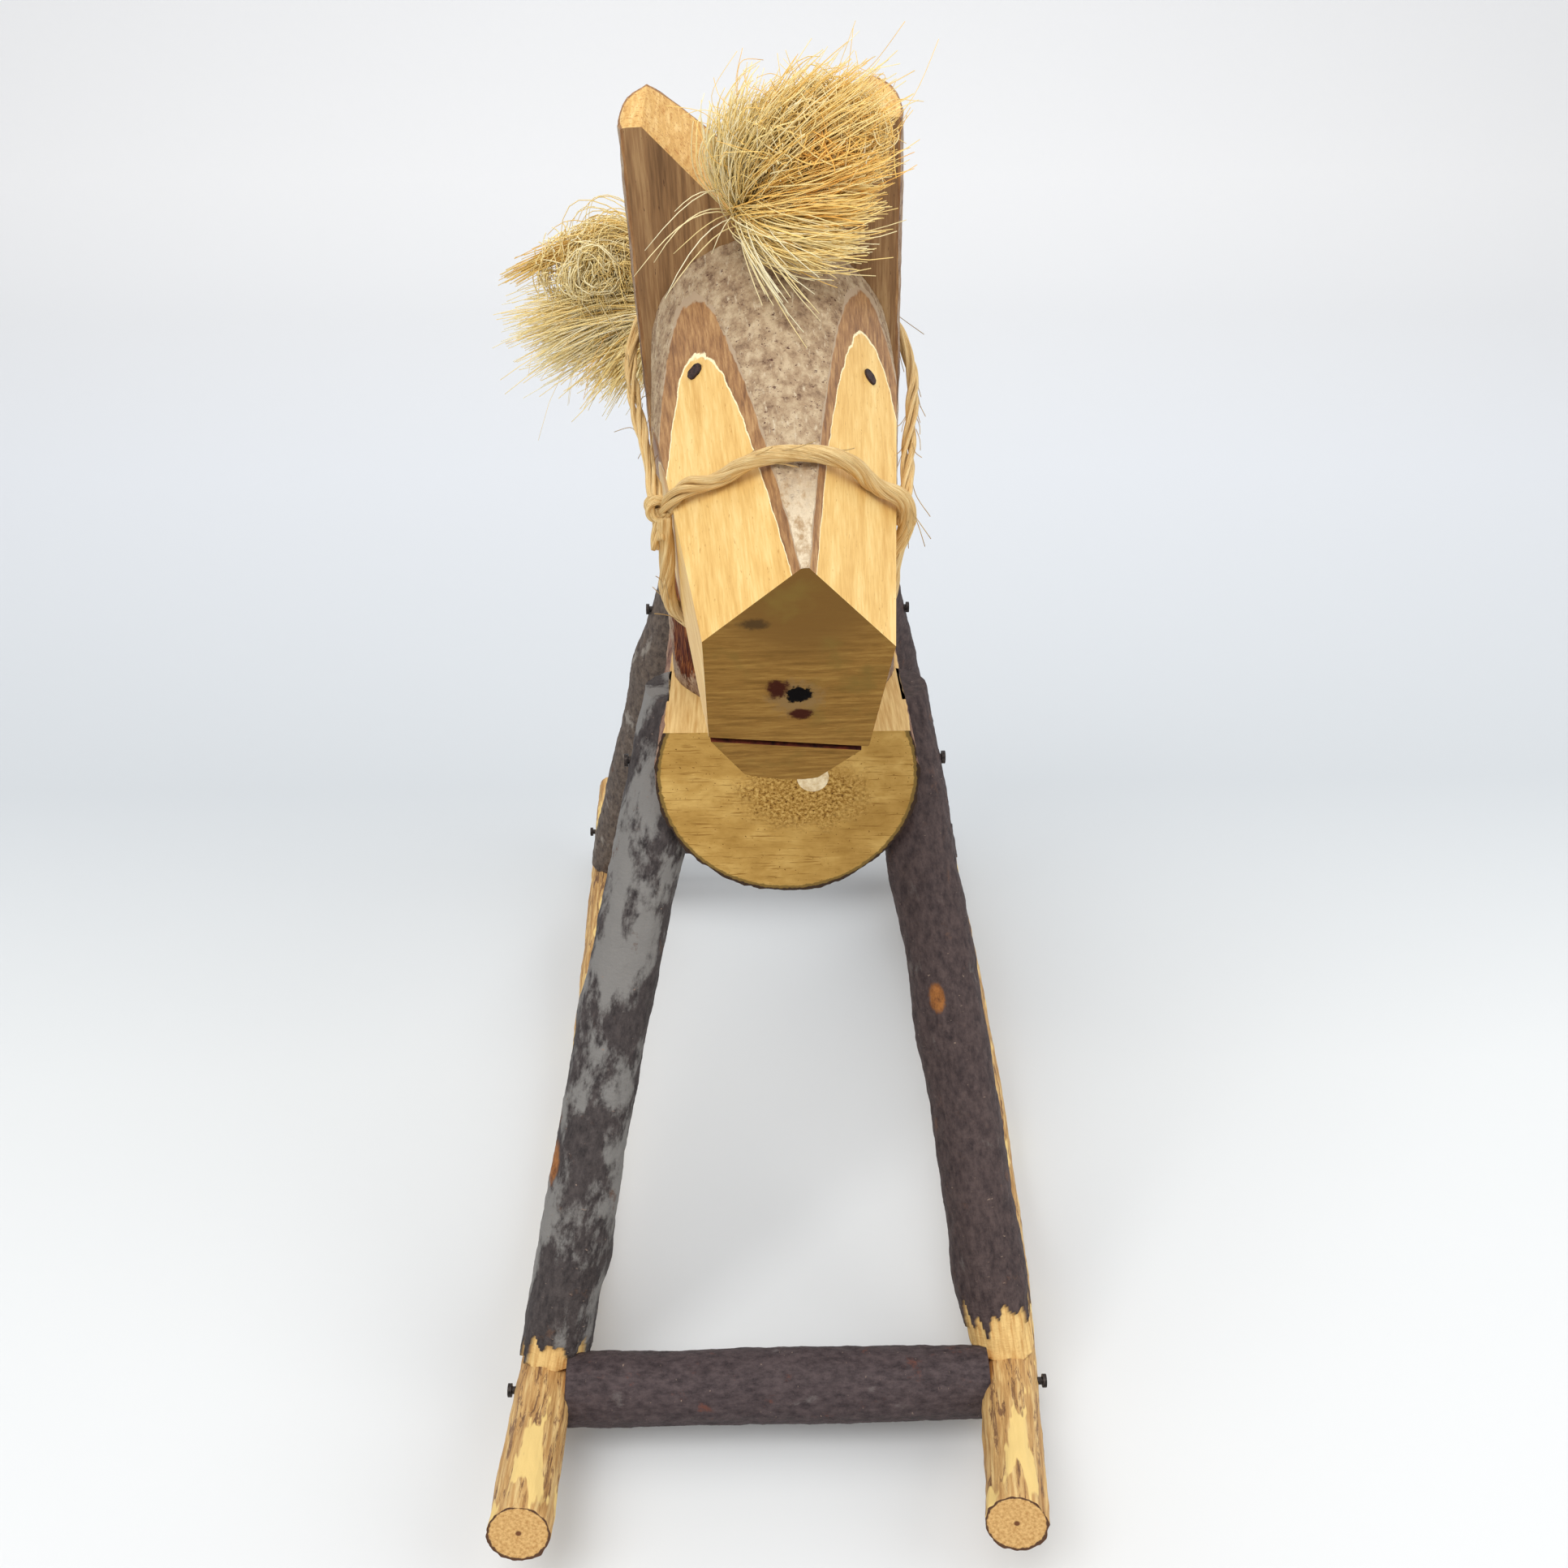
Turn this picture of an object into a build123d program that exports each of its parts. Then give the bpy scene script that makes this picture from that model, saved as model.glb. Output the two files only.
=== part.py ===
from build123d import *
import math
import os

# A rustic toy rocking horse made of branch wood: a log body, a neck log whose sawn top makes the
# two ears, a log head, four splayed branch legs, two bowed rockers with two crossbars, a cord
# bridle, and tufts of plant fibre for the forelock, the mane and the tail.
# Working frame, in millimetres: the horse faces -Y, +Z is up and +X is on its own left-hand side.
# Y = 0 is the sawn chest and Z = 0 is the floor. The parts are moved to their own frame at the end.

# ---- body log ----
BODY_DIAMETER = 62.0
BODY_LENGTH = 140.0
BODY_HEIGHT = 148.0          # floor to the log's axis
SEAT_RISE = 12.0             # planed seat of the neck, above the log's axis
SEAT_MARGIN = 2.0            # seat behind the neck
PLUG_DIAMETER = 7.5
PLUG_DEPTH = 16.0
PLUG_OFFSET = 6.0            # sideways from the log's axis

# ---- neck log, with the ears cut in its top ----
NECK_DIAMETER = 56.0
NECK_LENGTH = 137.5
NECK_SETBACK = 39.0          # chest to the neck's axis, along the seat
NECK_LEAN = 15.0             # degrees forward
NECK_TILT = 2.3              # degrees sideways
FACE_OFFSET = 7.0            # planed front face, ahead of the neck's axis
NOTCH_DEPTH = 25.5
NOTCH_HALF_WIDTH = 22.7
EAR_ROUNDING = 2.0

# ---- head log ----
HEAD_DIAMETER = 50.0
HEAD_LENGTH = 98.5
HEAD_PITCH = 20.6            # degrees below the horizontal
HEAD_YAW = 2.3
HEAD_RISE = 89.9             # up the neck's face, from its foot to the head's axis
SHOULDER_CLEARANCE = 0.2     # under the head, where the neck's face ends in a shoulder
MOUTH_WIDTH = 1.1
MOUTH_DEPTH = 6.0
MOUTH_DROP = 15.8            # below the head's axis
MOUTH_ROLL = 8.5             # degrees, lower on the horse's left
EYE_DIAMETER = 3.3
EYE_DEPTH = 6.0
EYE_FORWARD = 34.0           # from the neck's face, along the head

# A facet is planed from where it leaves the round log, at start, to its depth at the muzzle's end.
# Its azimuth is in degrees from straight up, towards +X.
LEFT_CHEEK = {"azimuth": 49.2, "start": 4.0, "depth": 8.2}
RIGHT_CHEEK = {"azimuth": -44.0, "start": 9.0, "depth": 6.5}
LEFT_JAW = {"azimuth": 97.0, "start": 0.0, "depth": 10.4}
RIGHT_JAW = {"azimuth": -92.0, "start": 28.0, "depth": 8.7}
LEFT_CHIN = {"azimuth": 137.0, "start": 55.0, "depth": 4.3}
RIGHT_CHIN = {"azimuth": -124.0, "start": 55.0, "depth": 4.1}

# ---- rockers ----
ROCKER_DIAMETER = 14.0
ROCKER_RADIUS = 690.0        # bend of a rocker's centre line
ROCKER_LOW = 44.0            # chest to the point where the rockers touch the floor
ROCKER_FRONT = -106.0
ROCKER_REAR = 218.0
LEFT_TRACK = 60.5            # rocker centres at their lowest point
RIGHT_TRACK = 60.0
LEFT_FRONT_BOW = 14.0        # how far each rocker's tip bends inwards
LEFT_REAR_BOW = 3.0
RIGHT_FRONT_BOW = 0.5
RIGHT_REAR_BOW = -1.5
SEAT_FLAT = 1.2              # depth of the flats whittled on the rockers
FLAT_MARGIN = 1.0            # each way along a flat, around what it seats

# ---- legs ----
LEG_DIAMETER = 17.0
LEG_INSET = 2.7              # leg axis inside the log's side, at the height of the log's axis
LEG_TOP_RISE = 12.0          # top of a leg, above the log's axis
FOOT_INSET = 2.3             # foot inside the rocker's centre line
FRONT_HIP = 20.0             # chest to a front leg's axis, at the height of the log's axis
REAR_HIP = 24.0              # the same, from the rump
FRONT_FOOT = -54.0
REAR_FOOT = 172.0

# ---- crossbars ----
BAR_DIAMETER = 17.2
FRONT_BAR = -61.0
REAR_BAR = 194.0

# ---- dowels and nails ----
DOWEL_DIAMETER = 8.0
DOWEL_LENGTH = 28.0
NAIL_DIAMETER = 1.8
NAIL_HEAD_DIAMETER = 3.2
NAIL_HEAD_THICKNESS = 0.9
NAIL_PROUD = 0.8             # shank left showing under a head
NAIL_CLEARANCE = 0.02        # round a nail in its hole
LEG_NAIL_LENGTH = 22.0
LEG_NAIL_DROP = 4.0          # below the log's axis
FOOT_NAIL_LENGTH = 28.0
FOOT_NAIL_SINK = 1.5         # heads driven in below the rocker's underside
BAR_NAIL_LENGTH = 30.0

# ---- bridle ----
NOSEBAND_DIAMETER = 3.8
NOSEBAND_FORWARD = 68.5      # along the head, from the neck's face
HEADSTALL_DIAMETER = 3.2
RIGHT_KNOT_DIAMETER = 8.4    # ties both ends of the noseband to the headstall
LEFT_KNOT_DIAMETER = 7.0

# The noseband's route round the head, as (degrees from straight up towards +X, distance outside
# the head log's round side). The planed faces lie inside that side, so some distances are negative.
NOSEBAND_ROUTE = [
    (-64.0, 0.5), (-39.1, 1.7), (-13.3, 3.6), (13.3, 3.8), (37.7, 0.6), (69.7, -1.4), (107.5, -1.1),
    (136.0, 3.4), (162.7, 4.8), (-166.1, 4.7), (-136.4, 5.4), (-107.1, 1.1), (-75.3, 0.0),
]
RIGHT_KNOT = (-70.1, 1.8)
LEFT_KNOT = (69.2, 1.9)

# The headstall's route from the right knot round the back of the neck to the left knot, as
# (across the neck, ahead of its axis, up it). The first two are for each millimetre of the
# half width that the cord has to pass.
HEADSTALL_ROOM = 6.0         # across both cords, beside the head log
HEADSTALL_ROUTE = [
    (-0.94, 1.80, 95.1), (-1.05, 0.87, 95.2), (-1.15, -0.04, 94.2), (-0.86, -0.80, 92.3),
    (-0.25, -1.16, 91.5), (0.36, -1.14, 91.0), (0.90, -0.75, 90.8), (1.15, -0.03, 90.7),
    (1.08, 0.93, 90.8), (1.01, 1.81, 91.7),
]

# ---- fibre tufts ----
ROOT_DIAMETER = 6.0
ROOT_DEPTH = 10.0
ROOT_RISE = 6.0              # straight part of a tuft outside its hole
ROOT_CLEARANCE = 0.2
FORELOCK_DIAMETER = 34.0
FORELOCK_THICKNESS = 20.0
FORELOCK_CENTRE = (10.3, 20.7, -0.8)      # across, ahead of and up the neck, from its top
MANE_DIAMETER = 38.0
MANE_THICKNESS = 20.0
MANE_CENTRE = (-26.5, -9.3, 4.7)          # the same, from the mane's root
MANE_RISE = 86.0             # mane's root, up the neck
MANE_TURN = 30.0             # degrees from straight back, towards the horse's right
TAIL_DIAMETER = 18.0
TAIL_LENGTH = 72.0
TAIL_BACK = 20.0             # tail's middle behind the rump
TAIL_DROP = 24.0             # and below the log's axis
TAIL_RISE = 14.0             # tail's root above the log's axis


def unit(vector):
    """The same direction, with a length of one."""
    return vector * (1.0 / vector.length)


def rod(start, end, diameter):
    """A round rod from one point to another."""
    axis = end - start
    return extrude(Plane(origin=start, z_dir=axis) * Circle(diameter / 2), amount=axis.length)


def keep_below(solid, origin, normal):
    """What lies behind a plane, on the side that its normal points away from."""
    return split(solid, bisect_by=Plane(origin=origin, z_dir=normal), keep=Keep.BOTTOM)


def keep_above(solid, origin, normal):
    """What lies in front of a plane, on the side that its normal points to."""
    return split(solid, bisect_by=Plane(origin=origin, z_dir=normal), keep=Keep.TOP)


def nail(point, direction, length, growth=0.0):
    """A wire nail with the underside of its head at point; growth all round makes it a hole."""
    along = unit(direction)
    shank = rod(point, point + along * (length + growth), NAIL_DIAMETER + 2 * growth)
    head_thickness = NAIL_HEAD_THICKNESS + growth
    head = rod(point - along * head_thickness, point + along * growth, NAIL_HEAD_DIAMETER + 2 * growth)
    return shank + head


def spheroid(centre, axis, length, diameter):
    """An egg shape, round about its axis."""
    egg = scale(Sphere(diameter / 2), by=(1, 1, length / diameter))
    return Plane(origin=centre, z_dir=axis) * egg


# ---- body log ----
body_radius = BODY_DIAMETER / 2
seat_height = BODY_HEIGHT + SEAT_RISE
chest = Vector(0, 0, BODY_HEIGHT)
rump = Vector(0, BODY_LENGTH, BODY_HEIGHT)
round_body = rod(chest, rump, BODY_DIAMETER)
neck_reach = NECK_DIAMETER / 2 / math.cos(math.radians(NECK_LEAN))
seat_length = NECK_SETBACK + neck_reach + SEAT_MARGIN
seat_waste = Pos(0, seat_length / 2, seat_height + body_radius) * Box(
    BODY_DIAMETER, seat_length, BODY_DIAMETER
)
body_log = round_body - seat_waste

plug_mouth = Vector(PLUG_OFFSET, 0, BODY_HEIGHT)
chest_plug = rod(plug_mouth, plug_mouth + Vector(0, PLUG_DEPTH, 0), PLUG_DIAMETER)

# ---- neck log ----
lean = math.tan(math.radians(NECK_LEAN))
tilt = math.tan(math.radians(NECK_TILT))
neck_foot = Vector(0, NECK_SETBACK, seat_height)
neck_up = unit(Vector(-tilt, -lean, 1))
neck_front = unit(Vector(1, 0, 0).cross(neck_up))
neck_across = neck_up.cross(neck_front)
face_foot = neck_foot + neck_front * FACE_OFFSET
neck_top = neck_foot + neck_up * NECK_LENGTH


def neck_offset(across, ahead, up):
    """A step across the neck towards +X, ahead of it, and up it."""
    return neck_across * across + neck_front * ahead + neck_up * up



# ---- head log ----
head_radius = HEAD_DIAMETER / 2
pitch = math.radians(HEAD_PITCH)
yaw = math.radians(HEAD_YAW)
head_forward = Vector(
    math.sin(yaw) * math.cos(pitch), -math.cos(yaw) * math.cos(pitch), -math.sin(pitch)
)
head_side = Vector(math.cos(yaw), math.sin(yaw), 0)
head_up = head_forward.cross(head_side)
head_base = face_foot + neck_up * HEAD_RISE


def head_point(side, up, forward):
    """A point given from the foot of the head's axis: towards +X, up, and towards the muzzle."""
    return head_base + head_side * side + head_up * up + head_forward * forward


def around_head(azimuth, standoff, forward):
    """A point beside the head log, at a distance outside its round side."""
    angle = math.radians(azimuth)
    reach = head_radius + standoff
    return head_point(reach * math.sin(angle), reach * math.cos(angle), forward)


def facet_plane(facet):
    """A point on a planed facet at the muzzle's end, and the facet's outward normal."""
    azimuth = math.radians(facet["azimuth"])
    outward = head_up * math.cos(azimuth) + head_side * math.sin(azimuth)
    slope = math.atan(facet["depth"] / (HEAD_LENGTH - facet["start"]))
    point = head_base + head_forward * HEAD_LENGTH + outward * (head_radius - facet["depth"])
    return point, outward * math.cos(slope) + head_forward * math.sin(slope)


head_log = rod(head_point(0, 0, -head_radius), head_point(0, 0, HEAD_LENGTH), HEAD_DIAMETER)
head_log = keep_above(head_log, face_foot, neck_front)
for facet in (LEFT_CHEEK, RIGHT_CHEEK, LEFT_JAW, RIGHT_JAW, LEFT_CHIN, RIGHT_CHIN):
    facet_origin, facet_normal = facet_plane(facet)
    head_log = keep_below(head_log, facet_origin, facet_normal)

mouth_plane = Plane(
    origin=head_point(0, -MOUTH_DROP, HEAD_LENGTH), x_dir=head_side, z_dir=head_forward
)
mouth = mouth_plane * Rot(0, 0, -MOUTH_ROLL) * Box(HEAD_DIAMETER, MOUTH_WIDTH, 2 * MOUTH_DEPTH)
head_log -= mouth


def eye(cheek):
    """A peg driven square into a cheek, flush with its planed face."""
    origin, normal = facet_plane(cheek)
    azimuth = math.radians(cheek["azimuth"])
    outward = head_up * math.cos(azimuth) + head_side * math.sin(azimuth)
    above = head_point(0, 0, EYE_FORWARD) + outward * HEAD_DIAMETER
    surface = above - normal * ((above - origin).dot(normal))
    return rod(surface, surface - normal * EYE_DEPTH, EYE_DIAMETER)


left_eye = eye(LEFT_CHEEK)
right_eye = eye(RIGHT_CHEEK)

# The neck is round up to a shoulder under the head, and flat in front from there to the ears.
neck_post = rod(neck_foot - neck_up * NECK_DIAMETER, neck_top, NECK_DIAMETER)
neck_post = keep_above(neck_post, neck_foot, Vector(0, 0, 1))
shoulder = head_point(0, -head_radius - SHOULDER_CLEARANCE, 0)
face_waste = keep_above(neck_post, face_foot, neck_front)
neck_post -= keep_above(face_waste, shoulder, head_up)

# The neck's front view is an upright round-cornered board, less a V between the ears.
front_view = Plane(origin=neck_top, x_dir=neck_across, z_dir=neck_front)
board = front_view * Pos(0, -NECK_LENGTH) * RectangleRounded(
    NECK_DIAMETER, 2 * NECK_LENGTH, EAR_ROUNDING
)
neck_post &= extrude(board, amount=NECK_DIAMETER, both=True)
notch = front_view * Polygon(
    (-2 * NOTCH_HALF_WIDTH, NOTCH_DEPTH),
    (0, -NOTCH_DEPTH),
    (2 * NOTCH_HALF_WIDTH, NOTCH_DEPTH),
    align=None,
)
neck_post -= extrude(notch, amount=NECK_DIAMETER, both=True)

# ---- dowels inside the log joints ----
neck_dowel = rod(
    neck_foot - neck_up * (DOWEL_LENGTH / 2), neck_foot + neck_up * (DOWEL_LENGTH / 2), DOWEL_DIAMETER
)
head_dowel = rod(
    head_point(0, 0, -DOWEL_LENGTH / 2), head_point(0, 0, DOWEL_LENGTH / 2), DOWEL_DIAMETER
)

# ---- rockers ----
rocker_radius = ROCKER_DIAMETER / 2


def rocker_path(side, track, front_bow, rear_bow):
    """A rocker's centre line: one arc through its two tips and its lowest point."""
    def tip(y, bow):
        drop = math.sqrt(ROCKER_RADIUS**2 - (y - ROCKER_LOW) ** 2)
        return Vector(side * (track - bow), y, rocker_radius + ROCKER_RADIUS - drop)

    low = Vector(side * track, ROCKER_LOW, rocker_radius)
    return ThreePointArc(tip(ROCKER_FRONT, front_bow), low, tip(ROCKER_REAR, rear_bow))


def station(path, y):
    """The point of a rocker's centre line at a given Y, and the direction of travel there."""
    low, high = 0.0, 1.0
    while high - low > 1e-9:
        middle = (low + high) / 2
        if (path @ middle).Y < y:
            low = middle
        else:
            high = middle
    return path @ low, path % low


def flat_waste(centre, along, outward, length):
    """What a whittled flat takes off a rocker; outward is the flat's normal."""
    seat = Plane(origin=centre + outward * (rocker_radius - SEAT_FLAT), x_dir=along, z_dir=outward)
    return extrude(seat * Rectangle(length, 2 * ROCKER_DIAMETER), amount=ROCKER_DIAMETER)


def round_rocker(path):
    """A rocker before its flats are cut."""
    return sweep(Plane(origin=path @ 0, z_dir=path % 0) * Circle(rocker_radius), path=path)


paths = {
    "left": rocker_path(1, LEFT_TRACK, LEFT_FRONT_BOW, LEFT_REAR_BOW),
    "right": rocker_path(-1, RIGHT_TRACK, RIGHT_FRONT_BOW, RIGHT_REAR_BOW),
}
rockers = {side: round_rocker(path) for side, path in paths.items()}

# ---- crossbars, nailed through the rockers ----
bars = {}
bar_nails = []
for name, bar_y in (("front_crossbar", FRONT_BAR), ("rear_crossbar", REAR_BAR)):
    left_centre, left_along = station(paths["left"], bar_y)
    right_centre, right_along = station(paths["right"], bar_y)
    inward = unit(right_centre - left_centre)
    bar_ends = []
    for side, centre, along, direction in (
        ("left", left_centre, left_along, inward),
        ("right", right_centre, right_along, inward * -1),
    ):
        flat_along = unit(along - direction * along.dot(direction))
        flat_length = BAR_DIAMETER + 2 * FLAT_MARGIN
        rockers[side] -= flat_waste(centre, flat_along, direction, flat_length)
        bar_ends.append(centre + direction * (rocker_radius - SEAT_FLAT))
        head_seat = centre - direction * (rocker_radius + NAIL_PROUD)
        bar_nails.append((head_seat, direction, BAR_NAIL_LENGTH))
    bars[name] = rod(bar_ends[0], bar_ends[1], BAR_DIAMETER)

# ---- legs, nailed to the log at the top and from under the rockers at the foot ----
legs = {}
leg_nails = []
foot_nails = []
for name, side, foot_y, hip_y in (
    ("front_left_leg", "left", FRONT_FOOT, FRONT_HIP),
    ("front_right_leg", "right", FRONT_FOOT, FRONT_HIP),
    ("rear_left_leg", "left", REAR_FOOT, BODY_LENGTH - REAR_HIP),
    ("rear_right_leg", "right", REAR_FOOT, BODY_LENGTH - REAR_HIP),
):
    sign = 1 if side == "left" else -1
    centre, along = station(paths[side], foot_y)
    rise = unit(Vector(0, 0, 1) - along * along.Z)
    across = along.cross(rise)
    foot = centre + rise * (rocker_radius - SEAT_FLAT) - across * (sign * FOOT_INSET)
    hip = Vector(sign * (body_radius - LEG_INSET), hip_y, BODY_HEIGHT)
    leg_up = unit(hip - foot)
    leg = rod(foot - leg_up * LEG_DIAMETER, hip + leg_up * LEG_DIAMETER * 2, LEG_DIAMETER)
    leg = keep_above(leg, foot, rise)
    leg = keep_below(leg, Vector(0, 0, BODY_HEIGHT + LEG_TOP_RISE), Vector(0, 0, 1))
    legs[name] = leg - round_body

    foot_length = LEG_DIAMETER / leg_up.dot(rise) + 2 * FLAT_MARGIN
    rockers[side] -= flat_waste(centre, along, rise, foot_length)

    # The hip nail goes straight in, from the leg's outer side.
    nail_point = hip - leg_up * (LEG_NAIL_DROP / leg_up.Z)
    outer_side = LEG_DIAMETER / 2 / math.sqrt(1 - leg_up.X**2) + NAIL_PROUD
    head_seat = nail_point + Vector(sign * outer_side, 0, 0)
    leg_nails.append((head_seat, Vector(-sign, 0, 0), LEG_NAIL_LENGTH))

    # The foot nail follows the leg's axis, up through the rocker.
    underside = (ROCKER_DIAMETER - SEAT_FLAT - FOOT_NAIL_SINK) / leg_up.dot(rise)
    head_seat = foot - leg_up * (underside - NAIL_HEAD_THICKNESS)
    foot_nails.append((head_seat, leg_up, FOOT_NAIL_LENGTH))
    sunk_hole = NAIL_HEAD_DIAMETER + 2 * NAIL_CLEARANCE
    rockers[side] -= rod(head_seat, head_seat - leg_up * ROCKER_DIAMETER, sunk_hole)

for name in legs:
    for bar in bars.values():
        legs[name] -= bar

# ---- bridle ----


def cord(points, diameter, label):
    """A round cord of straight runs joined by tangent arcs as large as the runs allow."""
    runs = [end - start for start, end in zip(points, points[1:])]
    radii = []
    for before, after in zip(runs, runs[1:]):
        half_turn = math.radians(before.get_angle(after)) / 2
        radii.append(0.45 * min(before.length, after.length) / math.tan(half_turn))
    path = FilletPolyline(*points, radius=radii)
    tube = sweep(Plane(origin=path @ 0, z_dir=path % 0) * Circle(diameter / 2), path=path)
    expected = path.length * math.pi * diameter**2 / 4
    print(f"{label}: length {path.length:.1f} mm, volume {tube.volume / expected:.4f} of section x length")
    print("  radii", " ".join(f"{radius:.0f}" for radius in radii))
    return tube


right_knot_centre = around_head(*RIGHT_KNOT, NOSEBAND_FORWARD)
left_knot_centre = around_head(*LEFT_KNOT, NOSEBAND_FORWARD)
noseband_points = [around_head(*point, NOSEBAND_FORWARD) for point in NOSEBAND_ROUTE]
half_width = max(NECK_DIAMETER, HEAD_DIAMETER + HEADSTALL_ROOM) / 2
headstall_points = [
    right_knot_centre,
    *(
        neck_foot + neck_offset(across * half_width, ahead * half_width, up)
        for across, ahead, up in HEADSTALL_ROUTE
    ),
    left_knot_centre,
]
noseband = cord(noseband_points, NOSEBAND_DIAMETER, "noseband")
headstall = cord(headstall_points, HEADSTALL_DIAMETER, "headstall")
right_knot = Pos(right_knot_centre) * Sphere(RIGHT_KNOT_DIAMETER / 2)
left_knot = Pos(left_knot_centre) * Sphere(LEFT_KNOT_DIAMETER / 2)
noseband -= right_knot
headstall -= right_knot
headstall -= left_knot
left_knot -= noseband

# ---- fibre tufts, each with its root in a drilled hole ----


def tuft(mouth, outward, egg, centre):
    """A tuft's outer shape: a root in its hole, a bend, and a stalk into the egg of the tuft."""
    bend = mouth + outward * ROOT_RISE
    root = rod(mouth - outward * ROOT_DEPTH, bend, ROOT_DIAMETER)
    stalk = rod(bend, centre, ROOT_DIAMETER)
    return egg + (root + Pos(bend) * Sphere(ROOT_DIAMETER / 2) + stalk)


def root_hole(mouth, outward):
    """The hole that a tuft's root is pushed into."""
    hole_diameter = ROOT_DIAMETER + 2 * ROOT_CLEARANCE
    return rod(mouth - outward * ROOT_DEPTH, mouth + outward * ROOT_RISE, hole_diameter)


forelock_mouth = neck_top - neck_up * NOTCH_DEPTH
forelock_centre = neck_top + neck_offset(*FORELOCK_CENTRE)
forelock_egg = spheroid(forelock_centre, Vector(0, 1, 0), FORELOCK_THICKNESS, FORELOCK_DIAMETER)
forelock = tuft(forelock_mouth, neck_up, forelock_egg, forelock_centre)
neck_post -= root_hole(forelock_mouth, neck_up)

turn = math.radians(MANE_TURN)
mane_outward = Vector(-math.sin(turn), math.cos(turn), 0)
mane_mouth = neck_foot + neck_up * MANE_RISE + mane_outward * (NECK_DIAMETER / 2)
mane_centre = mane_mouth + neck_offset(*MANE_CENTRE)
mane_egg = spheroid(mane_centre, Vector(0, 1, 0), MANE_THICKNESS, MANE_DIAMETER)
mane = tuft(mane_mouth, mane_outward, mane_egg, mane_centre)
neck_post -= root_hole(mane_mouth, mane_outward)

tail_mouth = rump + Vector(0, 0, TAIL_RISE)
tail_centre = rump + Vector(0, TAIL_BACK, -TAIL_DROP)
tail_egg = spheroid(tail_centre, Vector(0, 0, 1), TAIL_LENGTH, TAIL_DIAMETER)
tail = tuft(tail_mouth, Vector(0, 1, 0), tail_egg, tail_centre)
body_log -= root_hole(tail_mouth, Vector(0, 1, 0))

# ---- holes of the pegs, dowels and nails ----
body_log = body_log - chest_plug - neck_dowel
neck_post = neck_post - neck_dowel - head_dowel
head_log = head_log - head_dowel - left_eye - right_eye
leg_holes = [nail(*place, NAIL_CLEARANCE) for place in leg_nails]
foot_holes = [nail(*place, NAIL_CLEARANCE) for place in foot_nails]
bar_holes = [nail(*place, NAIL_CLEARANCE) for place in bar_nails]
body_log -= leg_holes
for name in legs:
    legs[name] -= leg_holes + foot_holes
for side in rockers:
    rockers[side] -= foot_holes + bar_holes
for name in bars:
    bars[name] -= foot_holes + bar_holes

nodes = {
    "body_log": body_log,
    "chest_plug": chest_plug,
    "neck_post": neck_post,
    "neck_dowel": neck_dowel,
    "head_log": head_log,
    "head_dowel": head_dowel,
    "left_eye": left_eye,
    "right_eye": right_eye,
    **legs,
    "left_rocker": rockers["left"],
    "right_rocker": rockers["right"],
    **bars,
    "leg_nails": Compound(children=[nail(*place) for place in leg_nails]),
    "foot_nails": Compound(children=[nail(*place) for place in foot_nails]),
    "crossbar_nails": Compound(children=[nail(*place) for place in bar_nails]),
    "noseband": noseband,
    "headstall": headstall,
    "left_knot": left_knot,
    "right_knot": right_knot,
    "forelock": forelock,
    "mane": mane,
    "tail": tail,
}

# The part's own frame: +Z up, origin at the middle of the bottom of the box around the whole horse.
whole = Compound(children=[shape.moved(Location()) for shape in nodes.values()]).bounding_box()
shift = Location((-whole.center().X, -whole.center().Y, -whole.min.Z))
print(f"moved by {shift.position}, size {whole.size}")
os.makedirs("parts", exist_ok=True)
for name, shape in nodes.items():
    export_step(shape.moved(shift), f"parts/{name}.step")
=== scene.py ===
import math
import random

import bmesh
import bpy
from mathutils import Matrix, Vector, noise


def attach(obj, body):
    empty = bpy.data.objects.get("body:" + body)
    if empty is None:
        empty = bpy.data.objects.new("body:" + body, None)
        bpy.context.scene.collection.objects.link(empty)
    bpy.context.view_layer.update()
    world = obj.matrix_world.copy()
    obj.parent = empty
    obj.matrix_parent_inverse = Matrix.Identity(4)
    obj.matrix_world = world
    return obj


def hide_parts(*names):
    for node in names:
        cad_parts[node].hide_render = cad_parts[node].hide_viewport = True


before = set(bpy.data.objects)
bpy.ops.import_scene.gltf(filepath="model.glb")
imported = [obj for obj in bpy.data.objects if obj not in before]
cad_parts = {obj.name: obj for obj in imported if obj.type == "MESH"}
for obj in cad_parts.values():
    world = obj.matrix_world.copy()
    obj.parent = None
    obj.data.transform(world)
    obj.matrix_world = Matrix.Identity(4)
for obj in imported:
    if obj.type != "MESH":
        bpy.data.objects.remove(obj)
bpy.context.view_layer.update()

# Lengths below are millimetres in the horse's own axes: it faces -Y, +X is its own left, Y = 0 is
# the sawn chest and Z = 0 is the floor. CHEST places those axes in the frame, in metres.
MM = 0.001
CHEST = Vector((0.000559, -0.056013, 0.0))
UP = Vector((0, 0, 1))
RIGHT = Vector((1, 0, 0))
BACK = Vector((0, 1, 0))
CHANCE = random.Random(7)
# Without a seed, noise_vector starts from the clock and the fibres differ from run to run.
noise.seed_set(7)


def unit(vector):
    """The same direction, with a length of one."""
    return vector.normalized()


# ---------------------------------------------------------------- material helper


def tone(red, green, blue):
    """A display colour from 0 to 255, as the linear colour that nodes take."""
    channels = []
    for value in (red, green, blue):
        share = value / 255
        channels.append(share / 12.92 if share <= 0.04045 else ((share + 0.055) / 1.055) ** 2.4)
    return (*channels, 1.0)


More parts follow.
